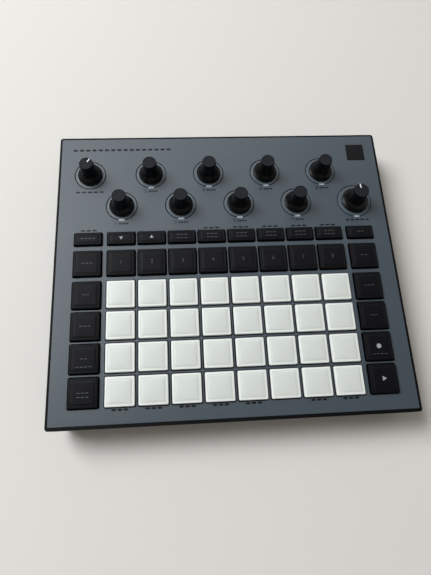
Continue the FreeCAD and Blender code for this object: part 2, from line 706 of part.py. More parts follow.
def make_key_mat():
    """The rubber sheet under the keys, with a dome under each plunger."""
    body = new_body("key_mat")
    front_edge = "(layout.front_keys - sizes.mat_margin)"
    rear_edge = "(layout.thin_row + sizes.thin_depth / 2 + sizes.mat_margin)"
    sheet = new_sketch(body, "sheet_outline", "layout.board_top")
    draw_rectangle(sheet, "0", f"({front_edge} + {rear_edge}) / 2",
                   "2 * (layout.side_column + sizes.side_width / 2 + sizes.mat_margin)",
                   f"{rear_edge} - {front_edge}", "sizes.key_corner")
    add_pad(body, "sheet", sheet, "sizes.mat_thickness")
    pad_dome = new_sketch(body, "pad_dome_outline", "layout.mat_top")
    draw_circle(pad_dome, column(0), pad_row(0), "sizes.dome_radius")
    rise = "layout.plunger_end - layout.mat_top - sizes.dome_gap"
    dome = add_pad(body, "pad_dome", pad_dome, f"{rise} - sizes.pad_travel")
    add_grid(body, "pad_domes", dome, COLUMNS, "layout.columns_span", PAD_ROWS,
             "layout.rows_span")
    side_dome = new_sketch(body, "side_dome_outline", "layout.mat_top")
    draw_circle(side_dome, LEFT, pad_row(0), "sizes.dome_radius")
    dome = add_pad(body, "side_dome", side_dome, f"{rise} - sizes.button_travel")
    add_grid(body, "side_domes", dome, 2, "2 * layout.side_column", PAD_ROWS, "layout.rows_span")
    row_domes = new_sketch(body, "row_dome_outlines", "layout.mat_top")
    for row in ("layout.track_row", "layout.thin_row"):
        for across in [LEFT, RIGHT] + [column(index) for index in range(COLUMNS)]:
            draw_circle(row_domes, across, row, "sizes.dome_radius")
    body.Tip = add_pad(body, "row_domes", row_domes, f"{rise} - sizes.button_travel")
    subparts.append(body)


# Keys

def make_key(name, width, depth, rise):
    """A key with a soft top edge, a flange under the cover and a plunger, at the case's middle."""
    body = new_body(name)
    cap_outline = new_sketch(body, "cap_outline", "layout.flange_under")
    draw_rectangle(cap_outline, "0", "0", width, depth, "sizes.key_corner")
    key_top = f"layout.panel_top + {rise}"
    cap = add_pad(body, "cap", cap_outline, f"{key_top} - layout.flange_under")
    add_fillet(body, "soft_edge", cap, "sizes.key_edge_round", key_top)
    flange_outline = new_sketch(body, "flange_outline", "layout.flange_under")
    spread = "sizes.pad_space_across - sizes.flange_space"
    draw_rectangle(flange_outline, "0", "0", f"{width} + {spread}", f"{depth} + {spread}",
                   "sizes.key_corner")
    add_pad(body, "flange", flange_outline, "sizes.flange_thickness")
    plunger_outline = new_sketch(body, "plunger_outline", "layout.flange_under")
    draw_circle(plunger_outline, "0", "0", "sizes.plunger_radius")
    body.Tip = add_pad(body, "plunger", plunger_outline, "sizes.plunger_length", down=True)
    return body


def make_pads():
    master = make_key("pad", "layout.pad_width", "layout.pad_depth", "sizes.pad_rise")
    for row in range(PAD_ROWS):
        for index in range(COLUMNS):
            name = f"pad_row{row + 1}_column{index + 1}"
            subparts.append(place_copy(name, master, column(index), pad_row(row)))


def make_buttons():
    rise = "sizes.button_rise"
    thin = make_key("thin_button", "layout.pad_width", "sizes.thin_depth", rise)
    thin_end = make_key("thin_end_button", "sizes.side_width", "sizes.thin_depth", rise)
    track = make_key("track_button", "layout.pad_width", "sizes.track_depth", rise)
    track_end = make_key("track_end_button", "sizes.side_width", "sizes.track_depth", rise)
    side = make_key("side_button", "sizes.side_width", "layout.pad_depth", rise)
    thin_keys = [place_copy("thin_button_left", thin_end, LEFT, "layout.thin_row")]
    track_keys = []
    for index in range(COLUMNS):
        thin_keys.append(place_copy(f"thin_button_{index + 1}", thin, column(index), "layout.thin_row"))
        track_keys.append(place_copy(f"track_button_{index + 1}", track, column(index),
                                     "layout.track_row"))
    thin_keys.append(place_copy("thin_button_right", thin_end, RIGHT, "layout.thin_row"))
    group("function_row", thin_keys)
    group("track_row", track_keys)
    for name, across in (("left", LEFT), ("right", RIGHT)):
        keys = [place_copy(f"{name}_button_{row + 1}", side, across, pad_row(row))
                for row in range(PAD_ROWS)]
        keys.append(place_copy(f"{name}_track_button", track_end, across, "layout.track_row"))
        group(f"{name}_column", keys)


# Knobs and rotary controls

def make_knob(name, place, skirt, grip):
    """A flared cap, and the shaft that it is pushed on to."""
    body = new_body(name, place[0], place[1], "layout.panel_top")
    outline = new_sketch(body, "cap_profile", role="XZ_Plane")
    bore = "(sizes.shaft_radius + sizes.shaft_fit)"
    neck = f"({grip} + sizes.knob_taper)"
    flare = "(sizes.knob_gap + sizes.knob_skirt_edge + sizes.knob_flare_height)"
    corners = [
        (bore, "sizes.knob_gap"),
        (skirt, "sizes.knob_gap"),
        (skirt, "(sizes.knob_gap + sizes.knob_skirt_edge)"),
        (neck, flare),
        (grip, "(sizes.knob_height - sizes.knob_top_round)"),
        (f"({grip} - sizes.knob_top_round)", "sizes.knob_height"),
        ("0", "sizes.knob_height"),
        ("0", "(sizes.knob_gap + sizes.knob_bore_depth)"),
        (bore, "(sizes.knob_gap + sizes.knob_bore_depth)"),
    ]
    points = [FreeCAD.Vector(value(x), value(z), 0) for x, z in corners]
    # The flare between skirt and neck is a hollow arc, so its middle lies in and down from its chord.
    flare_radius = value("sizes.knob_flare_radius")
    chord = points[3] - points[2]
    inward = FreeCAD.Vector(-chord.y, chord.x, 0).normalize()
    sag = flare_radius - math.sqrt(flare_radius ** 2 - (chord.Length / 2) ** 2)
    hollow = (points[2] + points[3]) / 2 + inward * sag
    edges = []
    for index, point in enumerate(points):
        follower = points[(index + 1) % len(points)]
        if index == 2:
            edges.append(Part.Arc(point, hollow, follower))
        elif index == 4:
            hub = FreeCAD.Vector(follower.x, point.y, 0)
            middle = hub + FreeCAD.Vector(1, 1, 0).normalize() * value("sizes.knob_top_round")
            edges.append(Part.Arc(point, middle, follower))
        else:
            edges.append(Part.LineSegment(point, follower))
    first = outline.addGeometry(edges, False)[0]
    count = len(points)
    ends = []
    for index in range(count):
        end = outline_end(outline, first + index, points[(index + 1) % count])
        start = outline_end(outline, first + (index + 1) % count, points[(index + 1) % count])
        outline.addConstraint(Sketcher.Constraint("Coincident", first + index, end,
                                                  first + (index + 1) % count, start))
        ends.append(end)
    for index, (across, height) in enumerate(corners[1:] + corners[:1]):
        bind(outline, "DistanceX", -1, 1, first + index, ends[index], to=across)
        bind(outline, "DistanceY", -1, 1, first + index, ends[index], to=height)
    bind(outline, "Radius", first + 2, to="sizes.knob_flare_radius")
    bind(outline, "Radius", first + 4, to="sizes.knob_top_round")
    add_revolution(body, "cap", outline)
    shaft_outline = new_sketch(body, "shaft_outline", shaft_foot())
    draw_circle(shaft_outline, "0", "0", "sizes.shaft_radius")
    shaft_top = "(sizes.knob_gap + sizes.knob_bore_depth - sizes.dome_gap)"
    body.Tip = add_pad(body, "shaft", shaft_outline, f"{shaft_top} - ({shaft_foot()})")
    subparts.append(body)


def outline_end(sketch, edge, point):
    """Which end of a sketch edge lies at this point: 1 is its start and 2 its end."""
    return 1 if sketch.getPoint(edge, 1).distanceToPoint(point) < 1e-6 else 2


def shaft_foot():
    """The shaft's lower end, counted from the panel."""
    return "(layout.board_top + sizes.control_floor + sizes.dome_gap - layout.panel_top)"


def make_knobs():
    make_knob("volume_knob", VOLUME, "sizes.knob_skirt_radius", "sizes.knob_grip_radius")
    make_knob("filter_knob", FILTER, "sizes.filter_skirt_radius", "sizes.filter_grip_radius")
    for pair, places in enumerate(zip(LOWER_MACROS, UPPER_MACROS)):
        for step, place in enumerate(places):
            make_knob(f"macro_knob_{2 * pair + step + 1}", place, "sizes.knob_skirt_radius",
                      "sizes.knob_grip_radius")


def make_rotary_controls():
    """The pots and encoders that stand on the main board, each with a hollow bushing."""
    pieces = []
    for number, (across, along) in enumerate(KNOBS, start=1):
        body = new_body(f"rotary_control_{number}", across, along)
        housing = new_sketch(body, "housing_outline", "layout.board_top")
        draw_rectangle(housing, "0", "0", "sizes.control_width", "sizes.control_width", "sizes.key_corner")
        add_pad(body, "housing", housing, "sizes.control_height")
        bushing = new_sketch(body, "bushing_outline", "layout.board_top")
        draw_circle(bushing, "0", "0", "sizes.bushing_radius")
        add_pad(body, "bushing", bushing, "sizes.board_room + sizes.cover_thickness - sizes.dome_gap")
        bore = new_sketch(body, "bore_outline", "layout.board_top + sizes.control_floor")
        draw_circle(bore, "0", "0", "sizes.shaft_radius + sizes.shaft_fit")
        body.Tip = add_pocket(body, "bore", bore, "sizes.board_room + sizes.cover_thickness")
        pieces.append(body)
    group("rotary_controls", pieces)


# Sockets along the rear wall

def make_socket_body(body, width, depth, rise):
    """A housing that stands on the jack board, just inside the rear wall."""
    base = "layout.jack_board_top"
    housing = new_sketch(body, "housing_outline", base)
    draw_rectangle(housing, "0", f"layout.jack_board_rear - {depth} / 2", width, depth, "sizes.key_edge_round")
    add_pad(body, "housing", housing, f"layout.socket_axis + {rise} - {base}")


def make_bushed_socket(name, place, kind):
    body = new_body(name, place)
    depth = f"sizes.{kind}_body_depth"
    make_socket_body(body, f"sizes.{kind}_body_width", depth, f"sizes.{kind}_body_rise")
    bushing = new_sketch(body, "bushing_outline", "-layout.socket_face", "XZ_Plane")
    draw_circle(bushing, "0", "layout.socket_axis", f"sizes.{kind}_bush_radius")
    add_pad(body, "bushing", bushing, f"layout.socket_face - layout.jack_board_rear + sizes.{kind}_bore_radius")
    bore = new_sketch(body, "bore_outline", "-layout.socket_face", "XZ_Plane")
    draw_circle(bore, "0", "layout.socket_axis", f"sizes.{kind}_bore_radius")
    feature = body.newObject("PartDesign::Pocket", "bore")
    feature.Profile = bore
    feature.Reversed = True
    feature.setExpression("Length", f"layout.socket_face - layout.jack_board_rear + {depth} - sizes.wall / 2")
    body.Tip = feature
    return body


def make_midi_socket(name, place):
    body = new_body(name, place)
    make_socket_body(body, "sizes.midi_body_width", "sizes.midi_body_depth", "sizes.midi_body_rise")
    shroud = new_sketch(body, "shroud_outline", "-layout.socket_face", "XZ_Plane")
    draw_circle(shroud, "0", "layout.socket_axis", "sizes.midi_shroud_radius")
    add_pad(body, "shroud", shroud, "layout.socket_face - layout.jack_board_rear + sizes.midi_inner_radius")
    mouth = new_sketch(body, "mouth_outline", "-layout.socket_face", "XZ_Plane")
    draw_circle(mouth, "0", "layout.socket_axis", "sizes.midi_inner_radius")
    draw_circle(mouth, "0", "layout.socket_axis", "sizes.midi_core_radius")
    ring = body.newObject("PartDesign::Pocket", "mouth")
    ring.Profile = mouth
    ring.Reversed = True
    ring.setExpression("Length", "sizes.midi_mouth_depth")
    pins = new_sketch(body, "pin_outline", "-layout.socket_face", "XZ_Plane")
    for step in range(5):
        turn = f"(180 + {step} * sizes.midi_pin_turn) * 1 deg"
        draw_circle(pins, f"sizes.midi_pin_circle * cos({turn})",
                    f"layout.socket_axis + sizes.midi_pin_circle * sin({turn})",
                    "sizes.midi_pin_radius")
    holes = body.newObject("PartDesign::Pocket", "pin_holes")
    holes.Profile = pins
    holes.Reversed = True
    holes.setExpression("Length", "sizes.midi_mouth_depth")
    body.Tip = holes
    return body


def make_usb_socket():
    body = new_body("usb_socket", "sizes.usb_place")
    axis = "layout.socket_axis"
    make_socket_body(body, "sizes.usb_width", "sizes.usb_body_depth", "sizes.usb_height / 2")
    shell = new_sketch(body, "shell_outline", "-layout.socket_face", "XZ_Plane")
    draw_slot(shell, "0", axis, "sizes.usb_width", "sizes.usb_height")
    add_pad(body, "shell", shell, "layout.socket_face - layout.jack_board_rear + sizes.usb_height")
    mouth = new_sketch(body, "mouth_outline", "-layout.socket_face", "XZ_Plane")
    draw_slot(mouth, "0", axis, "sizes.usb_width - 2 * sizes.usb_shell",
              "sizes.usb_height - 2 * sizes.usb_shell")
    draw_slot(mouth, "0", axis, "sizes.usb_tongue_width", "sizes.usb_tongue_height")
    feature = body.newObject("PartDesign::Pocket", "mouth")
    feature.Profile = mouth
    feature.Reversed = True
    feature.setExpression("Length", "sizes.usb_body_depth - sizes.wall")
    body.Tip = feature
    return body


def make_card_socket():
    body = new_body("card_socket", "sizes.card_place")
    axis = "layout.socket_axis"
    make_socket_body(body, "sizes.card_width", "sizes.card_body_depth", "sizes.card_height / 2")
    shell = new_sketch(body, "shell_outline", "-layout.socket_face", "XZ_Plane")
    draw_slot(shell, "0", axis, "sizes.card_width", "sizes.card_height")
    add_pad(body, "shell", shell, "layout.socket_face - layout.jack_board_rear + sizes.card_height")
    mouth = new_sketch(body, "mouth_outline", "-layout.socket_face", "XZ_Plane")
    draw_slot(mouth, "0", axis, "sizes.card_slot_width", "sizes.card_slot_height")
    feature = body.newObject("PartDesign::Pocket", "slot")
    feature.Profile = mouth
    feature.Reversed = True
    feature.setExpression("Length", "sizes.card_body_depth - sizes.wall")
    body.Tip = feature
    return body


POWER_INNER_END = "(layout.rear_face - sizes.power_length)"


def make_power_switch():
    """The board switch that the power button bears on at the end of its travel."""
    body = new_body("power_switch", "sizes.power_place")
    face = f"({POWER_INNER_END} - sizes.power_travel - sizes.dome_gap)"
    housing = new_sketch(body, "housing_outline", "layout.jack_board_top")
    draw_rectangle(housing, "0", f"{face} - sizes.power_switch_depth / 2", "sizes.power_switch_width",
                   "sizes.power_switch_depth", "sizes.key_edge_round")
    body.Tip = add_pad(body, "housing", housing,
                       "layout.socket_axis + sizes.power_radius - layout.jack_board_top")
    return body


def make_power_button():
    body = new_body("power_button", "sizes.power_place")
    cap_outline = new_sketch(body, "cap_outline", "-layout.rear_face", "XZ_Plane")
    draw_circle(cap_outline, "0", "layout.socket_axis", "sizes.power_radius")
    add_pad(body, "cap", cap_outline, "sizes.power_length")
    inner_wall = "(layout.cavity_rear - sizes.dome_gap)"
    flange_outline = new_sketch(body, "flange_outline", f"-{inner_wall}", "XZ_Plane")
    draw_circle(flange_outline, "0", "layout.socket_axis", "sizes.power_flange_radius")
    body.Tip = add_pad(body, "flange", flange_outline, "sizes.power_flange_thickness")
    subparts.append(body)


def make_sockets():
    group("audio_jacks", [make_bushed_socket(f"audio_jack_{number}", place, "jack")
                          for number, place in enumerate(JACKS, start=1)])
    group("mini_jacks", [make_bushed_socket(f"mini_jack_{number}", place, "mini")
                         for number, place in enumerate(MINI_JACKS, start=1)])
    group("midi_sockets", [make_midi_socket(f"midi_socket_{number}", place)
                           for number, place in enumerate(MIDI_SOCKETS, start=1)])
    group("rear_ports", [make_usb_socket(), make_card_socket(), make_power_switch()])


# Battery, feet and screws

def make_battery():
    body = new_body("battery")
    outline = new_sketch(body, "outline", "layout.floor_top")
    draw_rectangle(outline, "0", "sizes.battery_behind_centre", "sizes.battery_width",
                   "sizes.battery_depth", "sizes.battery_corner")
    body.Tip = add_pad(body, "cell", outline, "sizes.battery_height")
    subparts.append(body)


def make_feet():
    pieces = []
    for number, (across, along) in enumerate(FEET, start=1):
        body = new_body(f"foot_{number}", across, along)
        outline = new_sketch(body, "outline")
        draw_circle(outline, "0", "0", "sizes.foot_radius")
        body.Tip = add_pad(body, "disc", outline, "sizes.foot_height + sizes.foot_seat")
        pieces.append(body)
    group("rubber_feet", pieces)


def make_screws():
    pieces = []
    for number, (across, along) in enumerate(BOARD_SCREWS + REAR_SCREWS, start=1):
        body = new_body(f"screw_{number}", across, along)
        head = new_sketch(body, "head_outline", "layout.floor_top")
        draw_circle(head, "0", "0", "sizes.screw_head_radius")
        add_pad(body, "head", head, "sizes.screw_head_height", down=True)
        shank = new_sketch(body, "shank_outline", "layout.floor_top")
        draw_circle(shank, "0", "0", "sizes.screw_radius")
        tip = "layout.cover_under - sizes.boss_roof - sizes.screw_tip_room"
        add_pad(body, "shank", shank, f"{tip} - layout.floor_top")
        recess = new_sketch(body, "driver_recess", "layout.floor_top - sizes.screw_head_height")
        draw_circle(recess, "0", "0", "sizes.screw_radius - sizes.screw_hole_gap")
        body.Tip = add_pocket(body, "driver_socket", recess, "sizes.screw_head_height / 2")
        pieces.append(body)
    group("case_screws", pieces)


def check_and_write():
    doc.recompute()
    for item in doc.Objects:
        if "Invalid" in item.State or "Error" in item.State:
            raise RuntimeError(f"{item.Label} failed: {item.State}")
    os.makedirs("parts", exist_ok=True)
    for piece in subparts:
        if piece.Shape.isNull() or not piece.Shape.isValid():
            raise RuntimeError(f"{piece.Label} has no valid shape")
    for piece in subparts:
        piece.Shape.exportStep(f"parts/{piece.Label}.step")
        print(f"{piece.Label}: {len(piece.Shape.Solids)} solids, {piece.Shape.Volume:.1f} mm3")


fill_sheet()
make_knobs()
make_buttons()
make_pads()
make_power_button()
make_base_case()
make_top_cover()
make_light_windows()
make_circuit_boards()
make_key_mat()
make_rotary_controls()
make_sockets()
make_battery()
make_feet()
make_screws()
check_and_write()
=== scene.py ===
"""Drum machine: the looks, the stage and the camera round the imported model."""

import math

import bmesh
import bpy
from bpy.props import FloatProperty, FloatVectorProperty, PointerProperty
from mathutils import Matrix, Vector


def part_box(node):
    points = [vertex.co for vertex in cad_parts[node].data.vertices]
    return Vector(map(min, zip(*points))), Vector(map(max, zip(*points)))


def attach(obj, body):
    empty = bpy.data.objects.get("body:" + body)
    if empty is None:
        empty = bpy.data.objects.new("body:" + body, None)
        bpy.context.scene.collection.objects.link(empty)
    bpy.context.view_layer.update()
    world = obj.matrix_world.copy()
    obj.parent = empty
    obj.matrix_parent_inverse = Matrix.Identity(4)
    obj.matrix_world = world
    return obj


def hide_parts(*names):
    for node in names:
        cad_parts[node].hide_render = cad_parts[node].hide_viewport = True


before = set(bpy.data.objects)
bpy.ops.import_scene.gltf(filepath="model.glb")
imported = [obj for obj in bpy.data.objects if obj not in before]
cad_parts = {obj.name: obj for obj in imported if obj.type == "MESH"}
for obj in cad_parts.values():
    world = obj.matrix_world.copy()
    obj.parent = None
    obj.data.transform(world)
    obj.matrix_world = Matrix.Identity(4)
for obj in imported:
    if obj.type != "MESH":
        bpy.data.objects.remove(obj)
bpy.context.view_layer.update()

bl_info = {
    "name": "Drum Machine",
    "version": (1, 0, 0),
    "blender": (4, 5, 0),
    "location": "View3D > Sidebar > Drum Machine",
    "description": "Dresses the packed drum machine with its panel, keys, knobs, print and finishes",
    "category": "Object",
}

# Places that the CAD gives

CASE_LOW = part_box("base_case")[0]
COVER_LOW, COVER_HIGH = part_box("top_cover")
PANEL_TOP = COVER_HIGH.z
PAD_NAMES = sorted(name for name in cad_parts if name.startswith("pad_row"))
MACRO_NAMES = [f"macro_knob_{number}" for number in range(1, 9)]
KNOB_NAMES = ["volume_knob", "filter_knob"] + MACRO_NAMES
POINTER_ANGLES = {"volume_knob": math.radians(-34), "filter_knob": math.radians(8)}

# Places of the rear sockets and of the screws under the case, from its middle

SOCKETS = {
    "audio_jacks": (-0.082, -0.065, -0.035, -0.018),
    "mini_jacks": (-0.050, -0.003),
    "midi_sockets": (0.0125, 0.0315, 0.0505),
}
SCREWS = (
    *((x, -0.0966) for x in (-0.1060, 0.0, 0.1060)),
    *((x, 0.03495) for x in (-0.1106, 0.1106)),
    (0.0, 0.06045),
    *((x, 0.0974) for x in (-0.1060, 0.1060)),
)


def middle(node):
    """The middle of a CAD node's box."""
    low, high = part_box(node)
    return (low + high) / 2


COLUMNS = [middle(f"pad_row1_column{number}").x for number in range(1, 9)]
PAD_ROWS = [middle(f"pad_row{number}_column1").y for number in range(1, 5)]
TRACK_Y = middle("track_row").y
THIN_Y = middle("function_row").y
LEFT_X = middle("left_column").x
RIGHT_X = middle("right_column").x
SIDE_ROWS = PAD_ROWS + [TRACK_Y]
KNOB_PLACES = {name: middle(name) for name in KNOB_NAMES}
SOCKET_Z = (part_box("power_button")[0].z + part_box("power_button")[1].z) / 2
KEY_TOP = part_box("track_row")[1].z
PAD_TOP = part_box("pad_row1_column1")[1].z
KNOB_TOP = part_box("volume_knob")[1].z

# Tolerances and the pull of a curve's handles that makes a quarter circle

MERGE_DISTANCE = 1e-6
LEVEL_TOLERANCE = 1e-7
ARC_PULL = 0.5523

# Keys and pads: fixed small sizes

FLANGE_HEIGHT = 0.001
FLANGE_EDGE = 0.0002
FLANGE_LIFT = 0.0001
LEAST_BORDER = 0.0001
CROWN_POWER = 2.4
CROWN_CUTS = 9
# How far under the panel's top the painted shade on a pad's walls begins
SHADE_BELOW = 0.0002

# Knobs: points of the profile as steps out and up from the skirt's foot, its upper edge and the grip's top

SKIRT_FOOT = ((-0.0003, 0), (0, 0.0003))
SKIRT_SHOULDER = ((0, -0.0004), (-0.00012, -0.00012))
SHOULDER_INSET = 0.0004
GRIP_TOP = ((0, -0.0005), (-0.00015, -0.00015), (-0.0005, 0), (-0.0007, 0), (-0.0008, -0.0001))
TOP_SINK = 0.0001
TOP_FINISH_DEPTH = 0.0002
FLARE_STEPS = 12
SHAFT_HOLE = 0.0036
RING_OVERLAP = 0.0004
POINTER_INSET = 0.0002
POINTER_THICKNESS = 0.0003

# Light windows: the gap round one and how far it stands over the panel

LIGHT_GAP = 0.0001
LIGHT_LIFT = 0.00006

# Print on the panel: rows of dashes as their number, width and depth, and the places of the marks

MACRO_DASHES = (4, 0.0013, 0.0013)
VOLUME_DASHES = (5, 0.0031, 0.0011)
FILTER_DASHES = (5, 0.0027, 0.0011)
THIN_DASHES = (3, 0.0030, 0.0011)
PAD_DASHES = (3, 0.0028, 0.0012)
DASH_PITCH = 1.35
DASH_ROUND = 0.4
KNOB_LEGEND_DROP = 0.0139
FILTER_LEGEND_DROP = 0.0014
MACRO_NUMBER_SHIFT = -0.0042
MACRO_DASH_SHIFT = 0.0014
MACRO_NUMBER_SIZE = 0.0034
THIN_LEGEND_RISE = 0.0068
PAD_LEGEND_DROP = 0.0112
WORD_START = (-0.1086, 0.0944)
WORD_PITCH = 0.0046
WORD_BARS = 16
WORD_BAR = (0.0030, 0.0016)
WORD_BAR_CORNER = 0.0003
INLAY_SIZE = (0.0139, 0.0139, 0.0002)
INLAY_CORNER = 0.0006
INLAY_PLACE = (0.1036, 0.0893, PANEL_TOP + 0.00008)

# Print on the keys

ARROW_RADIUS = 0.0015
PLAY_RADIUS = 0.0019
DOT_RADIUS = 0.0016
KEY_DASH = (0.0020, 0.0004)
KEY_LINE = 0.0013
LOW_LEGEND = -0.0052
TRACK_NUMBER_SIZE = 0.0040

# Feet: profile points as steps in from the radius, with a height, or 1 where the point lies in a groove

FOOT_RADIUS = 0.007
FOOT_EDGE = ((0, 0.0006), (0.0002, 0.0002), (0.0006, 0))
FOOT_GROOVE = ((0.0020, 0), (0.0023, 1), (0.0029, 1), (0.0032, 0))
FOOT_DIMPLE = ((0.0012, 0), (0.0009, 1), (0, 1))

# Label and screw drives under the case

LABEL_THICKNESS = 0.00012
LABEL_CORNER = 0.0015
LABEL_EDGE = 0.00004
LABEL_Y = 0.052
UNDER_LIFT = 0.0001
DRIVE_RADIUS = 0.00115
DRIVE_INNER = 0.7
DRIVE_SWELL = 0.14
DRIVE_DEPTH = 0.0005

# Rear: bore radius and rim width of the jacks, pin sleeves, and the profile of the power button's face

JACK_RIMS = (("audio_jacks", 0.00325, 0.0007), ("mini_jacks", 0.0018, 0.0005))
PIN_BORE = 0.0005
PIN_SLEEVE = 0.00075
PIN_DEPTH = -0.002
PIN_CIRCLE = 0.0038
CAP_RADIUS = 0.0034
CAP_FACE = ((0, -0.00035), (0.0016, -0.00025), (0.0024, -0.00005), (0.0028, 0), (0.0031, 0))
CAP_FACE_EDGE = -0.0003
CAP_FLANGE = (-0.0033, -0.0043)

# Stage: name, place, size and power of each lamp, and whether it lights matt surfaces

LAMPS = (
    ("key_lamp", (-1.20, 0.70, 1.66), 1.1, 50.0, True),
    ("window_lamp", (-0.15, 1.52, 1.48), 1.7, 25.0, False),
)
LAMP_COLOUR = (0.97, 0.985, 1.0)
SKY_COLOUR = (1.0, 0.93, 0.86, 1)
SKY_STRENGTH = 0.27
BACKDROP = (0.80, 0.79, 0.77, 1)
BACKDROP_TOP = (0.10, 0.10, 0.11, 1)
BACKDROP_SPAN = (0.2, 0.65)
FLOOR_HALF = 2.5
FLOOR_FADE = (0.45, 1.3)

# Camera of the photograph: its lens, its place and its axes to the right, up and back

SENSOR_WIDTH = 36.0
LENS = 28.23
CLIP_START = 0.01
CAMERA_PLACE = (-0.03041, -0.10816, 0.32422)
CAMERA_AXES = (
    (0.99722, -0.05269, 0.05263),
    (0.03457, 0.95343, 0.29963),
    (-0.06597, -0.29698, 0.95260),
)


def tone(red, green, blue):
    """A colour written as 0 to 255, as the linear numbers that Blender uses."""
    parts = []
    for part in (red, green, blue):
        share = part / 255
        parts.append(share / 12.92 if share <= 0.04045 else ((share + 0.055) / 1.055) ** 2.4)
    return tuple(parts)


def length(name, description, default):
    """A length that the user can change, in metres."""
    return FloatProperty(
        name=name, description=description, default=default, min=0.0, unit="LENGTH", precision=5
    )


def colour(name, description, default):
    """A colour that the user can change."""
    return FloatVectorProperty(
        name=name, description=description, default=default, min=0.0, max=1.0, subtype="COLOR"
    )


class DrumMachineSizes(bpy.types.PropertyGroup):
    """Sizes of the pieces that Blender makes."""

    pad_width: length("Pad width", "Width and depth of a white pad", 0.0188)
    side_width: length("Side key width", "Width of the keys in the two side columns", 0.0187)
    track_depth: length("Track key depth", "Depth of a track key", 0.0184)
    thin_depth: length("Thin key depth", "Depth of a function key", 0.0092)
    key_corner: length("Key corner", "Corner radius of a key seen from above", 0.0008)
    key_edge: length("Key edge", "Round on the upper edge of a key", 0.0005)
    key_frame: length("Key frame", "Width of the sloping border on a key", 0.0014)
    key_slope: length("Key slope", "How far a key's border falls towards its edge", 0.00014)
    key_groove: length("Key groove", "Width of the fine groove round a key's middle", 0.0004)
    key_step: length("Key step", "Depth of the fine groove", 0.00013)
    key_crown: length("Key crown", "How far the middle of a black key rises", 0.00010)
    pad_crown: length("Pad crown", "How far the middle of a white pad rises", 0.00040)
    key_depth: length("Key body", "How far a key's body reaches below its top", 0.0050)
    flange: length("Flange", "How far a key's flange stands out under the panel", 0.0008)
    window_gap: length("Window gap", "Gap between a key and its window", 0.0007)
    window_corner: length("Window corner", "Corner radius of a key window", 0.0013)
    panel_edge: length("Panel edge", "Round on the panel's edges and windows", 0.0002)
    panel_thickness: length("Panel thickness", "Thickness of the panel", 0.0024)
    panel_corner: length("Panel corner", "Corner radius of the panel", 0.0007)
    skirt: length("Knob skirt", "Skirt radius of a knob", 0.00875)
    filter_skirt: length("Filter knob skirt", "Skirt radius of the filter knob", 0.0099)
    grip: length("Knob grip", "Grip radius of a knob at its top", 0.00485)
    filter_grip: length("Filter knob grip", "Grip radius of the filter knob at its top", 0.0054)
    skirt_edge: length("Skirt edge", "Height of a knob's upright skirt edge", 0.0012)
    flare_height: length("Flare height", "Height of the hollow flare", 0.0075)
    flare_radius: length("Flare radius", "Radius of the hollow flare", 0.0070)
    grip_taper: length("Grip taper", "How much the grip narrows towards its top", 0.00055)
    knob_foot: length("Knob foot", "Gap between the panel and a knob", 0.0005)
    ring_radius: length("Ring radius", "Radius of the dark ring round a knob", 0.0110)
    volume_ring: length("Volume ring radius", "Radius of the ring round the volume knob", 0.0110)
    filter_ring: length("Filter ring radius", "Radius of the ring round the filter knob", 0.0126)
    ring_width: length("Ring width", "Width of the groove round a knob", 0.0006)
    ring_depth: length("Ring depth", "Depth of the groove round a knob", 0.0004)
    light_width: length("Light width", "Width of a light window", 0.0044)
    light_depth: length("Light depth", "Depth of a light window", 0.0016)
    pointer_length: length("Pointer length", "Length of the white line on a knob", 0.0034)
    pointer_width: length("Pointer width", "Width of the white line on a knob", 0.0008)
    print_height: length("Print height", "Thickness of the printed marks", 0.00003)
    foot_groove: length("Foot groove", "Depth of the ring in a rubber foot", 0.0004)
    rim_height: length("Rim height", "Height of the plated rim round a jack", 0.00022)
    label_width: length("Label width", "Width of the bare label under the case", 0.060)
    label_depth: length("Label depth", "Depth of the bare label under the case", 0.026)


class DrumMachineColours(bpy.types.PropertyGroup):
    """Colours of the finishes."""

    panel: colour("Panel", "Satin grey panel", tone(56, 68, 77))
    # Painted highlight: the collar is the panel's grey made lighter, standing for light on the discs round
    # the knobs
    collar: colour("Collar", "Disc of the panel under a knob", tone(68, 80, 89))
    case: colour("Case", "Textured black case", tone(5, 5, 6))
    pad: colour("Pad", "Middle of a white pad", tone(210, 216, 212))
    # Painted highlight: the pad's border is lighter than its middle, standing for light on its edges
    pad_border: colour("Pad border", "Border of a white pad", tone(228, 233, 230))
    key: colour("Key", "Middle of a black key", tone(8, 9, 14))
    key_border: colour("Key border", "Border of a black key", tone(7, 7, 10))
    knob: colour("Knob", "Soft-touch knob", tone(3, 3, 4))
    knob_top: colour("Knob top", "Matt top of a knob", tone(23, 26, 32))
    light: colour("Light window", "Frosted light window", tone(150, 160, 165))
    ink: colour("Ink", "Dark print on the panel", tone(8, 9, 12))
    pale_ink: colour("Pale ink", "Clear symbols on the keys", tone(152, 154, 157))
    faint_ink: colour("Faint ink", "Faint marks on the keys", tone(66, 69, 75))
    number_ink: colour("Number ink", "Very faint numbers on the track keys", tone(45, 48, 53))
    pointer: colour("Pointer", "White line on a knob", tone(235, 238, 238))
    floor: colour("Floor", "Table top", tone(219, 218, 214))


# Finishes: the base colour, as numbers or as the name of a colour that the user can change, and the surface

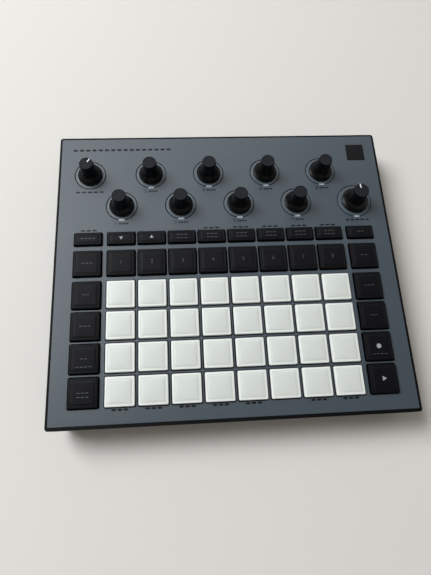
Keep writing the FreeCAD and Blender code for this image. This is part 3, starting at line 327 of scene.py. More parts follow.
FINISHES = {
    "satin panel": dict(
        base="panel", spread=0.1, mottle=0.08, mottle_scale=24.0, grain_scale=5200.0, bump=0.10,
        edge_wear_and_highlight=tone(120, 128, 136), wear=1.2, wear_radius=0.0002, dust=0.03
    ),
    # Painted shade: black for the floor of the grooves round the knobs, where there is only shade
    "groove black": dict(
        base=tone(14, 16, 18), rough=0.6, mottle=0.2, edge_wear_and_highlight=tone(40, 42, 46), specular=0.15
    ),
    # Painted highlight: a lighter copy of the satin panel for the discs round the knobs
    "satin collar": dict(
        base="collar", rough=0.45, mottle=0.08, grain_scale=5200.0, bump=0.10,
        edge_wear_and_highlight=tone(130, 138, 146), wear=1.2, wear_radius=0.0002
    ),
    "frosted window": dict(
        base="light", rough=0.35, mottle=0.1, mottle_scale=900.0, grain_scale=6000.0, bump=0.06,
        specular=0.6, coat=0.3, soft=0.3
    ),
    # The lighter border of the white pads is a painted highlight along their edges
    "white silicone": dict(
        base="pad", rough=0.46, spread=0.1, mottle=0.03, mottle_scale=90.0, grain_scale=3600.0, bump=0.08,
        wear=0.0, specular=0.4, border="pad_border", border_span=(0.84, 0.88), soft=0.25
    ),
    # Painted shade: the white pads' walls and flanges below the panel's top are dark, so that the gaps round
    # the pads look shaded
    "pad base black": dict(
        base=tone(20, 21, 23), rough=0.6, mottle=0.2, grain_scale=2400.0, edge_wear_and_highlight=tone(44, 46, 50), specular=0.12
    ),
    "black silicone": dict(
        base="key", mottle=0.18, mottle_scale=120.0, grain_scale=3200.0, edge_wear_and_highlight=tone(46, 48, 53), wear=0.4,
        dust=0.01, specular=0.09, border="key_border", border_span=(0.86, 0.95)
    ),
    "pale key ink": dict(base="pale_ink", mottle=0.15, mottle_scale=800.0, grain_scale=5000.0),
    "faint key ink": dict(base="faint_ink", mottle=0.3, mottle_scale=900.0, grain_scale=5000.0),
    "dim key ink": dict(base="number_ink", mottle=0.3, mottle_scale=900.0, grain_scale=5000.0),
    "panel ink": dict(base="ink", mottle=0.2, mottle_scale=700.0, specular=0.15),
    "gloss inlay": dict(base=tone(8, 8, 10), rough=0.3, mottle=0.1, bump=0.03, specular=0.2),
    # Painted highlight: the knob finishes' lighter edge colours stand partly for light on the skirt's edge
    # and round the top's rim, besides wear
    "soft touch black": dict(
        base="knob", rough=0.36, spread=0.1, mottle=0.2, mottle_scale=180.0, grain_scale=4200.0, bump=0.06,
        edge_wear_and_highlight=tone(40, 42, 46), wear=0.08, specular=0.15
    ),
    "matt knob top": dict(
        base="knob_top", rough=0.62, spread=0.1, mottle=0.2, mottle_scale=220.0, grain_scale=3000.0, bump=0.2,
        edge_wear_and_highlight=tone(60, 63, 68), wear=0.5, dust=0.02, specular=0.10
    ),
    "pointer white": dict(base="pointer", rough=0.4, mottle=0.05, grain_scale=5000.0),
    "textured case": dict(
        base="case", rough=0.55, spread=0.15, mottle=0.25, mottle_scale=60.0, grain_scale=2200.0, bump=0.35,
        edge_wear_and_highlight=tone(62, 63, 66), wear=0.04, dust=0.003, specular=0.10
    ),
    "black steel": dict(
        base=tone(52, 52, 54), rough=0.38, metallic=1.0, mottle=0.3, mottle_scale=500.0,
        edge_wear_and_highlight=tone(140, 140, 142), wear=1.5
    ),
    "foot rubber": dict(
        base=tone(30, 30, 31), rough=0.8, mottle=0.3, grain_scale=1800.0, bump=0.3, dust=0.05
    ),
    "bare label": dict(
        base=tone(118, 120, 122), rough=0.45, metallic=0.4, mottle=0.1, edge_wear_and_highlight=tone(150, 152, 154)
    ),
    "socket black": dict(base=tone(26, 26, 28), rough=0.35, grain_scale=3000.0, edge_wear_and_highlight=tone(70, 70, 74)),
    "plated steel": dict(
        base=tone(176, 178, 182), rough=0.28, metallic=1.0, mottle=0.15, mottle_scale=600.0,
        grain_scale=4000.0, edge_wear_and_highlight=tone(225, 226, 228), wear=1.2
    ),
    "button black": dict(base=tone(24, 24, 27), rough=0.4, mottle=0.2, edge_wear_and_highlight=tone(80, 80, 84), wear=0.8),
    "green laminate": dict(base=tone(34, 84, 58), rough=0.4, mottle=0.3, edge_wear_and_highlight=tone(150, 140, 96)),
    "mat rubber": dict(base=tone(172, 174, 172), rough=0.7, mottle=0.08, grain_scale=1500.0, bump=0.2),
    "stamped steel": dict(
        base=tone(160, 162, 166), rough=0.35, metallic=1.0, mottle=0.2, edge_wear_and_highlight=tone(210, 210, 212)
    ),
    "foil pouch": dict(base=tone(150, 154, 160), rough=0.4, metallic=0.6, mottle=0.2, bump=0.3),
    "pale table": dict(
        base="floor", rough=0.75, mottle=0.03, mottle_scale=9.0, grain_scale=400.0, bump=0.02, wear=0.0,
        specular=0.2
    ),
}
BUMP_DEPTH = 0.00004
COAT_ROUGHNESS = 0.25
SOFT_DEPTH = 0.0015
WEAR_BREAK_SCALE = 350.0
DUST_COLOUR = (0.45, 0.44, 0.42, 1)

# Shared parts of the finishes


def socketed_group(name, inputs, outputs):
    """An empty node group with its named sockets, and its two end nodes."""
    group = bpy.data.node_groups.new(name, "ShaderNodeTree")
    for label, value in inputs.items():
        kind = "NodeSocketFloat" if isinstance(value, float) else "NodeSocketColor"
        group.interface.new_socket(label, in_out="INPUT", socket_type=kind).default_value = value
    for label, kind in outputs.items():
        group.interface.new_socket(label, in_out="OUTPUT", socket_type=kind)
    return group, group.nodes.new("NodeGroupInput"), group.nodes.new("NodeGroupOutput")


def add(tree, kind, **values):
    """Adds a node and sets its plain values by socket name."""
    node = tree.nodes.new(kind)
    for key, value in values.items():
        node.inputs[key.replace("_", " ")].default_value = value
    return node


def feed(tree, value, target):
    """Gives an input its value: a link from a socket, or a plain value."""
    if isinstance(value, bpy.types.NodeSocket):
        tree.links.new(value, target)
    else:
        target.default_value = value


def math_node(tree, operation, first, second=0.0, clamp=False):
    """A Math node on two numbers or sockets."""
    node = tree.nodes.new("ShaderNodeMath")
    node.operation = operation
    node.use_clamp = clamp
    feed(tree, first, node.inputs[0])
    feed(tree, second, node.inputs[1])
    return node.outputs[0]


def mix_colours(tree, share, first, second):
    """A colour mix whose three inputs are sockets or plain values."""
    node = tree.nodes.new("ShaderNodeMix")
    node.data_type = "RGBA"
    for place, value in ((0, share), (6, first), (7, second)):
        feed(tree, value, node.inputs[place])
    return node.outputs[2]


def mix_shaders(tree, share, first, second, end):
    """Mixes two shaders and gives the mix to the tree's end node of that name."""
    blend = tree.nodes.new("ShaderNodeMixShader")
    for place, value in enumerate((share, first, second)):
        tree.links.new(value, blend.inputs[place])
    tree.links.new(blend.outputs[0], tree.nodes[end].inputs["Surface"])


def smooth_range(tree, value, low, high):
    """0 below the low value, 1 above the high one, and a smooth rise between them."""
    node = tree.nodes.new("ShaderNodeMapRange")
    node.interpolation_type = "SMOOTHSTEP"
    for label, given in (("Value", value), ("From Min", low), ("From Max", high)):
        feed(tree, given, node.inputs[label])
    return node.outputs["Result"]


def noise_node(tree, scale, detail, roughness):
    """A noise on Object coordinates, whose scale is a socket or a number."""
    noise = add(tree, "ShaderNodeTexNoise", Detail=detail, Roughness=roughness)
    place = tree.nodes.new("ShaderNodeTexCoord")
    tree.links.new(place.outputs["Object"], noise.inputs["Vector"])
    feed(tree, scale, noise.inputs["Scale"])
    return noise.outputs["Fac"]


def vector_part(tree, vector, label):
    """One part of a vector socket."""
    split = tree.nodes.new("ShaderNodeSeparateXYZ")
    tree.links.new(vector, split.inputs[0])
    return split.outputs[label]


def seen_rays(tree):
    """1 for the rays that show a background: straight, mirrored or through glass."""
    path = tree.nodes.new("ShaderNodeLightPath")
    straight = math_node(tree, "MAXIMUM", path.outputs["Is Camera Ray"], path.outputs["Is Glossy Ray"])
    return math_node(tree, "MAXIMUM", straight, path.outputs["Is Transmission Ray"])


def grain_group():
    """Moulded grain: a mottled colour, an uneven roughness and a fine height."""
    inputs = {
        "Color": (0.5, 0.5, 0.5, 1),
        "Mottle": 0.1,
        "Mottle Scale": 60.0,
        "Grain Scale": 2500.0,
        "Roughness": 0.5,
        "Roughness Spread": 0.1,
    }
    outputs = {"Color": "NodeSocketColor", "Roughness": "NodeSocketFloat", "Height": "NodeSocketFloat"}
    group, start, end = socketed_group("Moulded grain", inputs, outputs)
    mottle = noise_node(group, start.outputs["Mottle Scale"], 4.0, 0.6)
    grain = noise_node(group, start.outputs["Grain Scale"], 3.0, 0.7)
    centred = math_node(group, "SUBTRACT", mottle, 0.5)
    change = math_node(group, "MULTIPLY", centred, start.outputs["Mottle"])
    scaled = group.nodes.new("ShaderNodeVectorMath")
    scaled.operation = "SCALE"
    group.links.new(start.outputs["Color"], scaled.inputs[0])
    group.links.new(math_node(group, "ADD", change, 1.0), scaled.inputs["Scale"])
    group.links.new(scaled.outputs[0], end.inputs["Color"])
    uneven = math_node(group, "MULTIPLY", centred, start.outputs["Roughness Spread"])
    group.links.new(math_node(group, "ADD", start.outputs["Roughness"], uneven), end.inputs["Roughness"])
    group.links.new(grain, end.inputs["Height"])
    return group


def wear_group():
    """Edge wear and painted edge highlight: a mask along the edges, broken up by noise, and the normal of a
    softened edge.
    """
    inputs = {"Radius": 0.0004, "Amount": 1.0, "Break Scale": 400.0}
    outputs = {"Mask": "NodeSocketFloat", "Normal": "NodeSocketVector"}
    group, start, end = socketed_group("Edge wear", inputs, outputs)
    soft = group.nodes.new("ShaderNodeBevel")
    soft.samples = 6
    group.links.new(start.outputs["Radius"], soft.inputs["Radius"])
    true = group.nodes.new("ShaderNodeNewGeometry")
    dot = group.nodes.new("ShaderNodeVectorMath")
    dot.operation = "DOT_PRODUCT"
    group.links.new(soft.outputs["Normal"], dot.inputs[0])
    group.links.new(true.outputs["Normal"], dot.inputs[1])
    turn = math_node(group, "SUBTRACT", 1.0, dot.outputs["Value"])
    noise = noise_node(group, start.outputs["Break Scale"], 5.0, 0.65)
    edge = math_node(group, "MULTIPLY", turn, start.outputs["Amount"])
    group.links.new(math_node(group, "MULTIPLY", edge, noise, True), end.inputs["Mask"])
    group.links.new(soft.outputs["Normal"], end.inputs["Normal"])
    return group


def dust_group():
    """Settled dust: specks and a thin film on what faces up."""
    inputs = {"Amount": 0.1, "Speck Scale": 900.0}
    group, start, end = socketed_group("Settled dust", inputs, {"Mask": "NodeSocketFloat"})
    film = noise_node(group, 28.0, 5.0, 0.6)
    speck = noise_node(group, start.outputs["Speck Scale"], 2.0, 0.5)
    spots = math_node(group, "MULTIPLY", math_node(group, "SUBTRACT", speck, 0.68), 6.0, True)
    both = math_node(group, "ADD", math_node(group, "MULTIPLY", film, 0.4), spots)
    facing = group.nodes.new("ShaderNodeNewGeometry")
    upward = math_node(group, "MAXIMUM", vector_part(group, facing.outputs["Normal"], "Z"), 0.0)
    lying = math_node(group, "MULTIPLY", both, upward)
    group.links.new(math_node(group, "MULTIPLY", lying, start.outputs["Amount"], True), end.inputs["Mask"])
    return group


def border_group():
    """Key border: a mask that rises towards the edge of a key, from the key's own map."""
    inputs = {"Inner": 0.84, "Outer": 0.93}
    group, start, end = socketed_group("Key border", inputs, {"Mask": "NodeSocketFloat"})
    chart = group.nodes.new("ShaderNodeUVMap")
    chart.uv_map = "key"
    across, along = (
        math_node(group, "ABSOLUTE", vector_part(group, chart.outputs["UV"], label)) for label in ("X", "Y")
    )
    reach = math_node(group, "MAXIMUM", across, along)
    rise = smooth_range(group, reach, start.outputs["Inner"], start.outputs["Outer"])
    group.links.new(rise, end.inputs["Mask"])
    return group


SHARED = {}


def shared(name):
    """The shared group of that name, built the first time it is asked for."""
    makers = {"grain": grain_group, "wear": wear_group, "dust": dust_group, "border": border_group}
    if name not in SHARED:
        SHARED[name] = makers[name]()
    return SHARED[name]


def place_group(tree, name, **values):
    """Places a shared group in a material with its own values."""
    node = tree.nodes.new("ShaderNodeGroup")
    node.node_tree = shared(name)
    for key, value in values.items():
        node.inputs[key.replace("_", " ")].default_value = value
    return node


def finish_material(
    name,
    base,
    rough=0.5,
    spread=0.12,
    mottle=0.12,
    mottle_scale=70.0,
    grain_scale=2600.0,
    bump=0.12,
    edge_wear_and_highlight=None,
    wear=0.6,
    wear_radius=0.0003,
    dust=0.0,
    metallic=0.0,
    specular=0.5,
    coat=0.0,
    border=None,
    border_span=(0.84, 0.93),
    soft=0.0,
):
    """A finished surface: grain, uneven roughness, a lighter colour along the edges and dust over one base
    colour; on the knobs that edge colour is partly a painted highlight.
    """
    material = bpy.data.materials.new(name)
    material.use_nodes = True
    tree = material.node_tree
    shader = tree.nodes["Principled BSDF"]
    shader.inputs["Metallic"].default_value = metallic
    shader.inputs["Specular IOR Level"].default_value = specular
    shader.inputs["Coat Weight"].default_value = coat
    shader.inputs["Coat Roughness"].default_value = COAT_ROUGHNESS
    if soft:
        shader.inputs["Subsurface Weight"].default_value = soft
        shader.inputs["Subsurface Radius"].default_value = (1.0, 1.0, 1.0)
        shader.inputs["Subsurface Scale"].default_value = SOFT_DEPTH
    grain = place_group(
        tree,
        "grain",
        Mottle=mottle,
        Mottle_Scale=mottle_scale,
        Grain_Scale=grain_scale,
        Roughness=rough,
        Roughness_Spread=spread,
    )
    ground = (*base, 1)
    # A border colour towards a key's edge: on the white pads a painted highlight, on the black keys a
    # slightly darker edge
    if border:
        rim = place_group(tree, "border", Inner=border_span[0], Outer=border_span[1])
        ground = mix_colours(tree, rim.outputs["Mask"], ground, (*border, 1))
    feed(tree, ground, grain.inputs["Color"])
    skin = grain.outputs["Color"]
    edge = place_group(tree, "wear", Radius=wear_radius, Amount=wear, Break_Scale=WEAR_BREAK_SCALE)
    # A lighter colour along the edges: wear, and on the knobs' skirts and tops also a painted highlight
    if edge_wear_and_highlight:
        skin = mix_colours(tree, edge.outputs["Mask"], skin, (*edge_wear_and_highlight, 1))
    if dust:
        settled = place_group(tree, "dust", Amount=dust)
        skin = mix_colours(tree, settled.outputs["Mask"], skin, DUST_COLOUR)
    tree.links.new(skin, shader.inputs["Base Color"])
    tree.links.new(grain.outputs["Roughness"], shader.inputs["Roughness"])
    relief = add(tree, "ShaderNodeBump", Strength=bump, Distance=BUMP_DEPTH)
    tree.links.new(grain.outputs["Height"], relief.inputs["Height"])
    tree.links.new(edge.outputs["Normal"], relief.inputs["Normal"])
    tree.links.new(relief.outputs["Normal"], shader.inputs["Normal"])
    return material


MADE = {}


def made(name, colours):
    """The material of that name from the table of finishes, made once."""
    if name not in MADE:
        values = {
            key: getattr(colours, value) if isinstance(value, str) else value
            for key, value in FINISHES[name].items()
        }
        MADE[name] = finish_material(name, **values)
    return MADE[name]


def repaint(node, material):
    """Gives a CAD node a finish."""
    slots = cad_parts[node].data.materials
    slots.clear()
    slots.append(material)


# Shapes


def block(size, corner, edge, segments=4):
    """A block with round corners seen from above and a round upper edge; its top lies at height 0."""
    bm = bmesh.new()
    bmesh.ops.create_cube(bm, size=1.0)
    bmesh.ops.scale(bm, vec=size, verts=bm.verts)
    bmesh.ops.translate(bm, vec=(0, 0, -size[2] / 2), verts=bm.verts)
    upright = [e for e in bm.edges if abs(e.verts[0].co.z - e.verts[1].co.z) > size[2] / 2]
    round_edges(bm, upright, corner, segments)
    bm.normal_update()
    level = [e for e in bm.edges if all(v.co.z > -LEVEL_TOLERANCE for v in e.verts)]
    rim = [e for e in level if min(face.normal.z for face in e.link_faces) < 0.5]
    round_edges(bm, rim, edge, segments)
    bm.normal_update()
    return bm


def round_edges(bm, edges, offset, segments):
    """Rounds the given edges of a shape."""
    bmesh.ops.bevel(
        bm,
        geom=edges,
        offset=offset,
        offset_type="OFFSET",
        segments=segments,
        profile=0.5,
        affect="EDGES",
        material=-1,
    )


def top_face(bm):
    """The largest face that looks up."""
    return max((f for f in bm.faces if f.normal.z > 0.99), key=lambda f: f.calc_area())


def lathe(profile, steps=72):
    """A closed turned shape from its profile of radius and height."""
    bm = bmesh.new()
    points = [bm.verts.new((radius, 0, height)) for radius, height in profile]
    for first, second in zip(points, points[1:]):
        bm.edges.new((first, second))
    bmesh.ops.spin(
        bm,
        geom=bm.verts[:] + bm.edges[:],
        cent=(0, 0, 0),
        axis=(0, 0, 1),
        angle=math.tau,
        steps=steps,
        use_merge=True,
        use_duplicate=False,
    )
    bmesh.ops.remove_doubles(bm, verts=bm.verts, dist=MERGE_DISTANCE)
    bmesh.ops.recalc_face_normals(bm, faces=bm.faces)
    return bm


def put(target, part, place, turn=0.0, tilt=0.0):
    """Copies one shape into another, turned about Z and tilted about X."""
    mesh = bpy.data.meshes.new("part")
    part.to_mesh(mesh)
    turned = Matrix.Rotation(turn, 4, "Z") @ Matrix.Rotation(tilt, 4, "X")
    mesh.transform(Matrix.Translation(place) @ turned)
    target.from_mesh(mesh)
    bpy.data.meshes.remove(mesh)


def use_up(target, part, places, turn=0.0, tilt=0.0):
    """Copies a shape into another at each place and frees it."""
    for place in places:
        put(target, part, place, turn, tilt)
    part.free()
    return target


def copies(part, *places, turn=0.0, tilt=0.0):
    """A new shape made of one copy of a part at each place."""
    return use_up(bmesh.new(), part, places, turn, tilt)


def piece(name, shape, body, materials, nodes=(), smooth=40.0, weighted=True):
    """Turns a shape into a finished object that rides on a body and stands for CAD nodes."""
    mesh = shape if isinstance(shape, bpy.types.Mesh) else bpy.data.meshes.new(name)
    if shape is not mesh:
        shape.to_mesh(mesh)
        shape.free()
    mesh.name = name
    mesh.shade_smooth()
    mesh.set_sharp_from_angle(angle=math.radians(smooth))
    for material in materials:
        mesh.materials.append(material)
    thing = bpy.data.objects.new(name, mesh)
    bpy.context.scene.collection.objects.link(thing)
    if weighted:
        modifier = thing.modifiers.new("Even shading", "WEIGHTED_NORMAL")
        modifier.keep_sharp = True
    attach(thing, body)
    if nodes:
        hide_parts(*nodes)
    return thing


def flat_curve(name, thickness, edge=0.0, steps=2):
    """A filled flat curve that is thickened evenly about its plane."""
    curve = bpy.data.curves.new(name, "CURVE")
    curve.dimensions = "2D"
    curve.fill_mode = "BOTH"
    curve.resolution_u = steps
    curve.extrude = thickness / 2 - edge
    curve.bevel_depth = edge
    curve.bevel_resolution = 1
    curve.offset = -edge
    return curve


def add_rectangle(curve, centre, size, corner):
    """A rectangle with round corners on a flat curve."""
    wide = size[0] / 2
    deep = size[1] / 2
    pull = corner * ARC_PULL
    spline = curve.splines.new("BEZIER")
    spline.use_cyclic_u = True
    spline.bezier_points.add(7)
    corners = ((1, -1), (1, 1), (-1, 1), (-1, -1))
    turns = [(right, far, on_side) for right, far in corners for on_side in (right == far, right != far)]
    for point, (right, far, on_side) in zip(spline.bezier_points, turns):
        point.handle_left_type = "FREE"
        point.handle_right_type = "FREE"
        if on_side:
            spot = Vector((centre[0] + right * wide, centre[1] + far * (deep - corner), 0))
            lean = Vector((0, far * pull, 0))
        else:
            spot = Vector((centre[0] + right * (wide - corner), centre[1] + far * deep, 0))
            lean = Vector((right * pull, 0, 0))
        before_corner = on_side == (right == far)
        point.co = spot
        point.handle_right = spot + lean if before_corner else spot
        point.handle_left = spot if before_corner else spot + lean


def add_circle(curve, centre, radius):
    """A circle on a flat curve."""
    spline = curve.splines.new("BEZIER")
    spline.use_cyclic_u = True
    spline.bezier_points.add(3)
    spline.resolution_u = 16
    for point, (right, far) in zip(spline.bezier_points, ((1, 0), (0, 1), (-1, 0), (0, -1))):
        point.co = (centre[0] + right * radius, centre[1] + far * radius, 0)
        point.handle_left_type = "AUTO"
        point.handle_right_type = "AUTO"


def curve_mesh(curve, height):
    """A curve or text as a mesh, lifted to its height."""
    thing = bpy.data.objects.new(curve.name, curve)
    bpy.context.scene.collection.objects.link(thing)
    bpy.context.view_layer.update()
    graph = bpy.context.evaluated_depsgraph_get()
    mesh = bpy.data.meshes.new_from_object(thing.evaluated_get(graph))
    bpy.data.objects.remove(thing)
    mesh.transform(Matrix.Translation((0, 0, height)))
    return mesh


def merged(mesh):
    """A shape from a mesh with its doubles merged and its faces looking out."""
    bm = bmesh.new()
    bm.from_mesh(mesh)
    bmesh.ops.remove_doubles(bm, verts=bm.verts, dist=MERGE_DISTANCE)
    bmesh.ops.recalc_face_normals(bm, faces=bm.faces)
    bpy.data.meshes.remove(mesh)
    return bm


def key_shape(width, along, crown, sizes):
    """A key with a sloping border, a fine groove and a crowned middle; the middle's top lies at height 0."""
    bm = block((width, along, sizes.key_depth), sizes.key_corner, sizes.key_edge)
    lid = top_face(bm)
    groove = sizes.key_groove
    steps = (
        (sizes.key_corner - sizes.key_edge, 0.0),
        (max(sizes.key_frame - sizes.key_corner, LEAST_BORDER), sizes.key_slope),
        (groove / 2, -sizes.key_step),
        (groove / 2, sizes.key_step),
    )
    for number, (thickness, depth) in enumerate(steps):
        bmesh.ops.inset_region(bm, faces=[lid], thickness=thickness, depth=depth, use_even_offset=True)
        if number == 0:
            bmesh.ops.remove_doubles(bm, verts=lid.verts[:], dist=sizes.key_corner / 4)
            bm.normal_update()
            lid = top_face(bm)
    reach = max(v.co.x for v in lid.verts), max(v.co.y for v in lid.verts)
    bmesh.ops.subdivide_edges(bm, edges=lid.edges[:], cuts=CROWN_CUTS, use_grid_fill=True)
    for vert in bm.verts:
        share = abs(vert.co.x) / reach[0], abs(vert.co.y) / reach[1]
        if max(share) < 0.999 and vert.co.z > 0:
            vert.co.z += crown * (1 - share[0] ** CROWN_POWER) * (1 - share[1] ** CROWN_POWER)
    bmesh.ops.translate(bm, verts=bm.verts, vec=(0, 0, -sizes.key_slope - crown))
    bm.normal_update()
    wider = 2 * sizes.flange
    flange = block((width + wider, along + wider, FLANGE_HEIGHT), sizes.key_corner, FLANGE_EDGE, 2)
    use_up(bm, flange, [(0, 0, FLANGE_LIFT - sizes.key_depth)])
    chart = bm.loops.layers.uv.new("key")
    for face in bm.faces:
        for loop in face.loops:
            place = loop.vert.co
            loop[chart].uv = (place.x / (width / 2), place.y / (along / 2))
    return bm


def key_places(sizes):
    """For each group of black keys: its places and its key sizes."""
    side = sizes.side_width
    wide = sizes.pad_width
    ends = [(x, THIN_Y, side, sizes.thin_depth) for x in (LEFT_X, RIGHT_X)]
    thin = [(x, THIN_Y, wide, sizes.thin_depth) for x in COLUMNS]
    places = {"function_row": ends[:1] + thin + ends[1:]}
    places["track_row"] = [(x, TRACK_Y, wide, sizes.track_depth) for x in COLUMNS]
    depths = [sizes.pad_width] * 4 + [sizes.track_depth]
    for name, x in (("left_column", LEFT_X), ("right_column", RIGHT_X)):
        places[name] = [(x, y, side, depth) for y, depth in zip(SIDE_ROWS, depths)]
    return places


def ring_sizes(sizes):
    """Ring radius of each knob."""
    rings = {name: sizes.ring_radius for name in MACRO_NAMES}
    rings["volume_knob"] = sizes.volume_ring
    rings["filter_knob"] = sizes.filter_ring
    return rings


def triangle(radius, sizes):
    """A flat triangle that points to the rear."""
    bm = bmesh.new()
    bmesh.ops.create_cone(
        bm, cap_ends=True, segments=3, radius1=radius, radius2=radius, depth=sizes.print_height
    )
    return bm


def add_dashes(curve, x, y, count, wide, deep):
    """A centred row of short dashes on a flat curve."""
    pitch = wide * DASH_PITCH
    for number in range(count):
        spot = x + (number - (count - 1) / 2) * pitch
        add_rectangle(curve, (spot, y), (wide, deep), deep * DASH_ROUND)


def add_number(target, number, size, place, sizes):
    """Adds a plain printed number, centred at its place, to a shape."""
    text = bpy.data.curves.new(f"number_{number}", "FONT")
    text.body = str(number)
    text.size = size
    text.extrude = sizes.print_height / 2
    text.align_x = "CENTER"
    text.align_y = "CENTER"
    mesh = curve_mesh(text, 0.0)
    mesh.transform(Matrix.Translation(place))
    target.from_mesh(mesh)
    bpy.data.meshes.remove(mesh)


class Step:
    """What the operators share: each makes its pieces from the sizes and colours of the scene"""

    def execute(self, context):
        self.make(context.scene.drum_sizes, context.scene.drum_colours)
        return {"FINISHED"}


class DRUM_OT_panel(Step, bpy.types.Operator):
    """Makes the grey panel with its key windows and the round holes for the knobs' discs"""

    bl_idname = "drum.panel"
    bl_label = "Panel"

    def make(self, sizes, colours):
        curve = flat_curve("panel", sizes.panel_thickness, sizes.panel_edge, 6)
        size = (COVER_HIGH.x - COVER_LOW.x, COVER_HIGH.y - COVER_LOW.y)
        centre = ((COVER_HIGH.x + COVER_LOW.x) / 2, (COVER_HIGH.y + COVER_LOW.y) / 2)
        add_rectangle(curve, centre, size, sizes.panel_corner)
        gap = 2 * sizes.window_gap
        pads = [(*middle(name).xy, sizes.pad_width, sizes.pad_width) for name in PAD_NAMES]
        for places in (*key_places(sizes).values(), pads):
            for x, y, width, depth in places:
                add_rectangle(curve, (x, y), (width + gap, depth + gap), sizes.window_corner)
        rings = ring_sizes(sizes)
        for name, spot in KNOB_PLACES.items():
            add_circle(curve, spot, rings[name] + sizes.ring_width / 2)
        shape = merged(curve_mesh(curve, PANEL_TOP - sizes.panel_thickness / 2))
        grey = made("satin panel", colours)
        piece("panel_plate", shape, "case", [grey], ["top_cover"])


class DRUM_OT_collars(Step, bpy.types.Operator):
    """Makes the discs under the knobs, and black rings on the floor of the grooves round them as painted
    shade
    """

    bl_idname = "drum.collars"
    bl_label = "Knob collars"

    def make(self, sizes, colours):
        rings = ring_sizes(sizes)
        collars = bmesh.new()
        grooves = bmesh.new()
        low = PANEL_TOP - sizes.panel_thickness
        floor = PANEL_TOP - sizes.ring_depth
        edge = sizes.panel_edge
        for name, spot in KNOB_PLACES.items():
            inner = rings[name] - sizes.ring_width / 2
            outer = rings[name] + sizes.ring_width / 2 + RING_OVERLAP
            rim = ((inner - edge, PANEL_TOP), (inner - edge * 0.3, PANEL_TOP - edge * 0.3))
            rim += ((inner, PANEL_TOP - edge), (inner, low))
            disc = lathe(((SHAFT_HOLE, low), (SHAFT_HOLE, PANEL_TOP), *rim, (SHAFT_HOLE, low)))
            # A black ring on the groove's floor: painted shade in the groove
            ring = lathe(((inner, low), (inner, floor), (outer, floor), (outer, low), (inner, low)))
            use_up(collars, disc, [(spot.x, spot.y, 0)])
            use_up(grooves, ring, [(spot.x, spot.y, 0)])
        dark = made("groove black", colours)
        satin = made("satin collar", colours)
        piece("knob_collars", collars, "case", [satin])
        piece("groove_rings", grooves, "case", [dark])


class DRUM_OT_lights(Step, bpy.types.Operator):
    """Makes the frosted light windows in front of the knobs"""

    bl_idname = "drum.lights"
    bl_label = "Light windows"

    def make(self, sizes, colours):
        rings = ring_sizes(sizes)
        width = sizes.light_width - LIGHT_GAP
        depth = sizes.light_depth - LIGHT_GAP
        pill = block((width, depth, sizes.panel_thickness - LIGHT_GAP), depth * 0.49, 0.0002, 5)
        places = [
            (spot.x, spot.y - rings[name], PANEL_TOP + LIGHT_LIFT)
            for name, spot in KNOB_PLACES.items()
            if name != "volume_knob"
        ]
        frosted = made("frosted window", colours)
        piece("light_pills", copies(pill, *places), "case", [frosted], ["light_windows"])


class DRUM_OT_pads(Step, bpy.types.Operator):
    """Makes the 32 white pads"""

    bl_idname = "drum.pads"
    bl_label = "White pads"

    def make(self, sizes, colours):
        finishes = [made("white silicone", colours), made("pad base black", colours)]
        for name in PAD_NAMES:
            spot = middle(name)
            shape = key_shape(sizes.pad_width, sizes.pad_width, sizes.pad_crown, sizes)
            pad = copies(shape, (spot.x, spot.y, PAD_TOP))
            self.darken_base(pad)
            piece(name.replace("pad_", "white_pad_"), pad, name, finishes, [name])

    def darken_base(self, pad):
        """Paints shade on the part of a pad that lies below the panel's top: a dark finish there darkens the
        gaps round the pad.
        """
        level = PANEL_TOP - SHADE_BELOW
        parts = pad.verts[:] + pad.edges[:] + pad.faces[:]
        bmesh.ops.bisect_plane(pad, geom=parts, plane_co=(0, 0, level), plane_no=(0, 0, 1))
        for face in pad.faces:
            if face.calc_center_median().z < level:
                face.material_index = 1


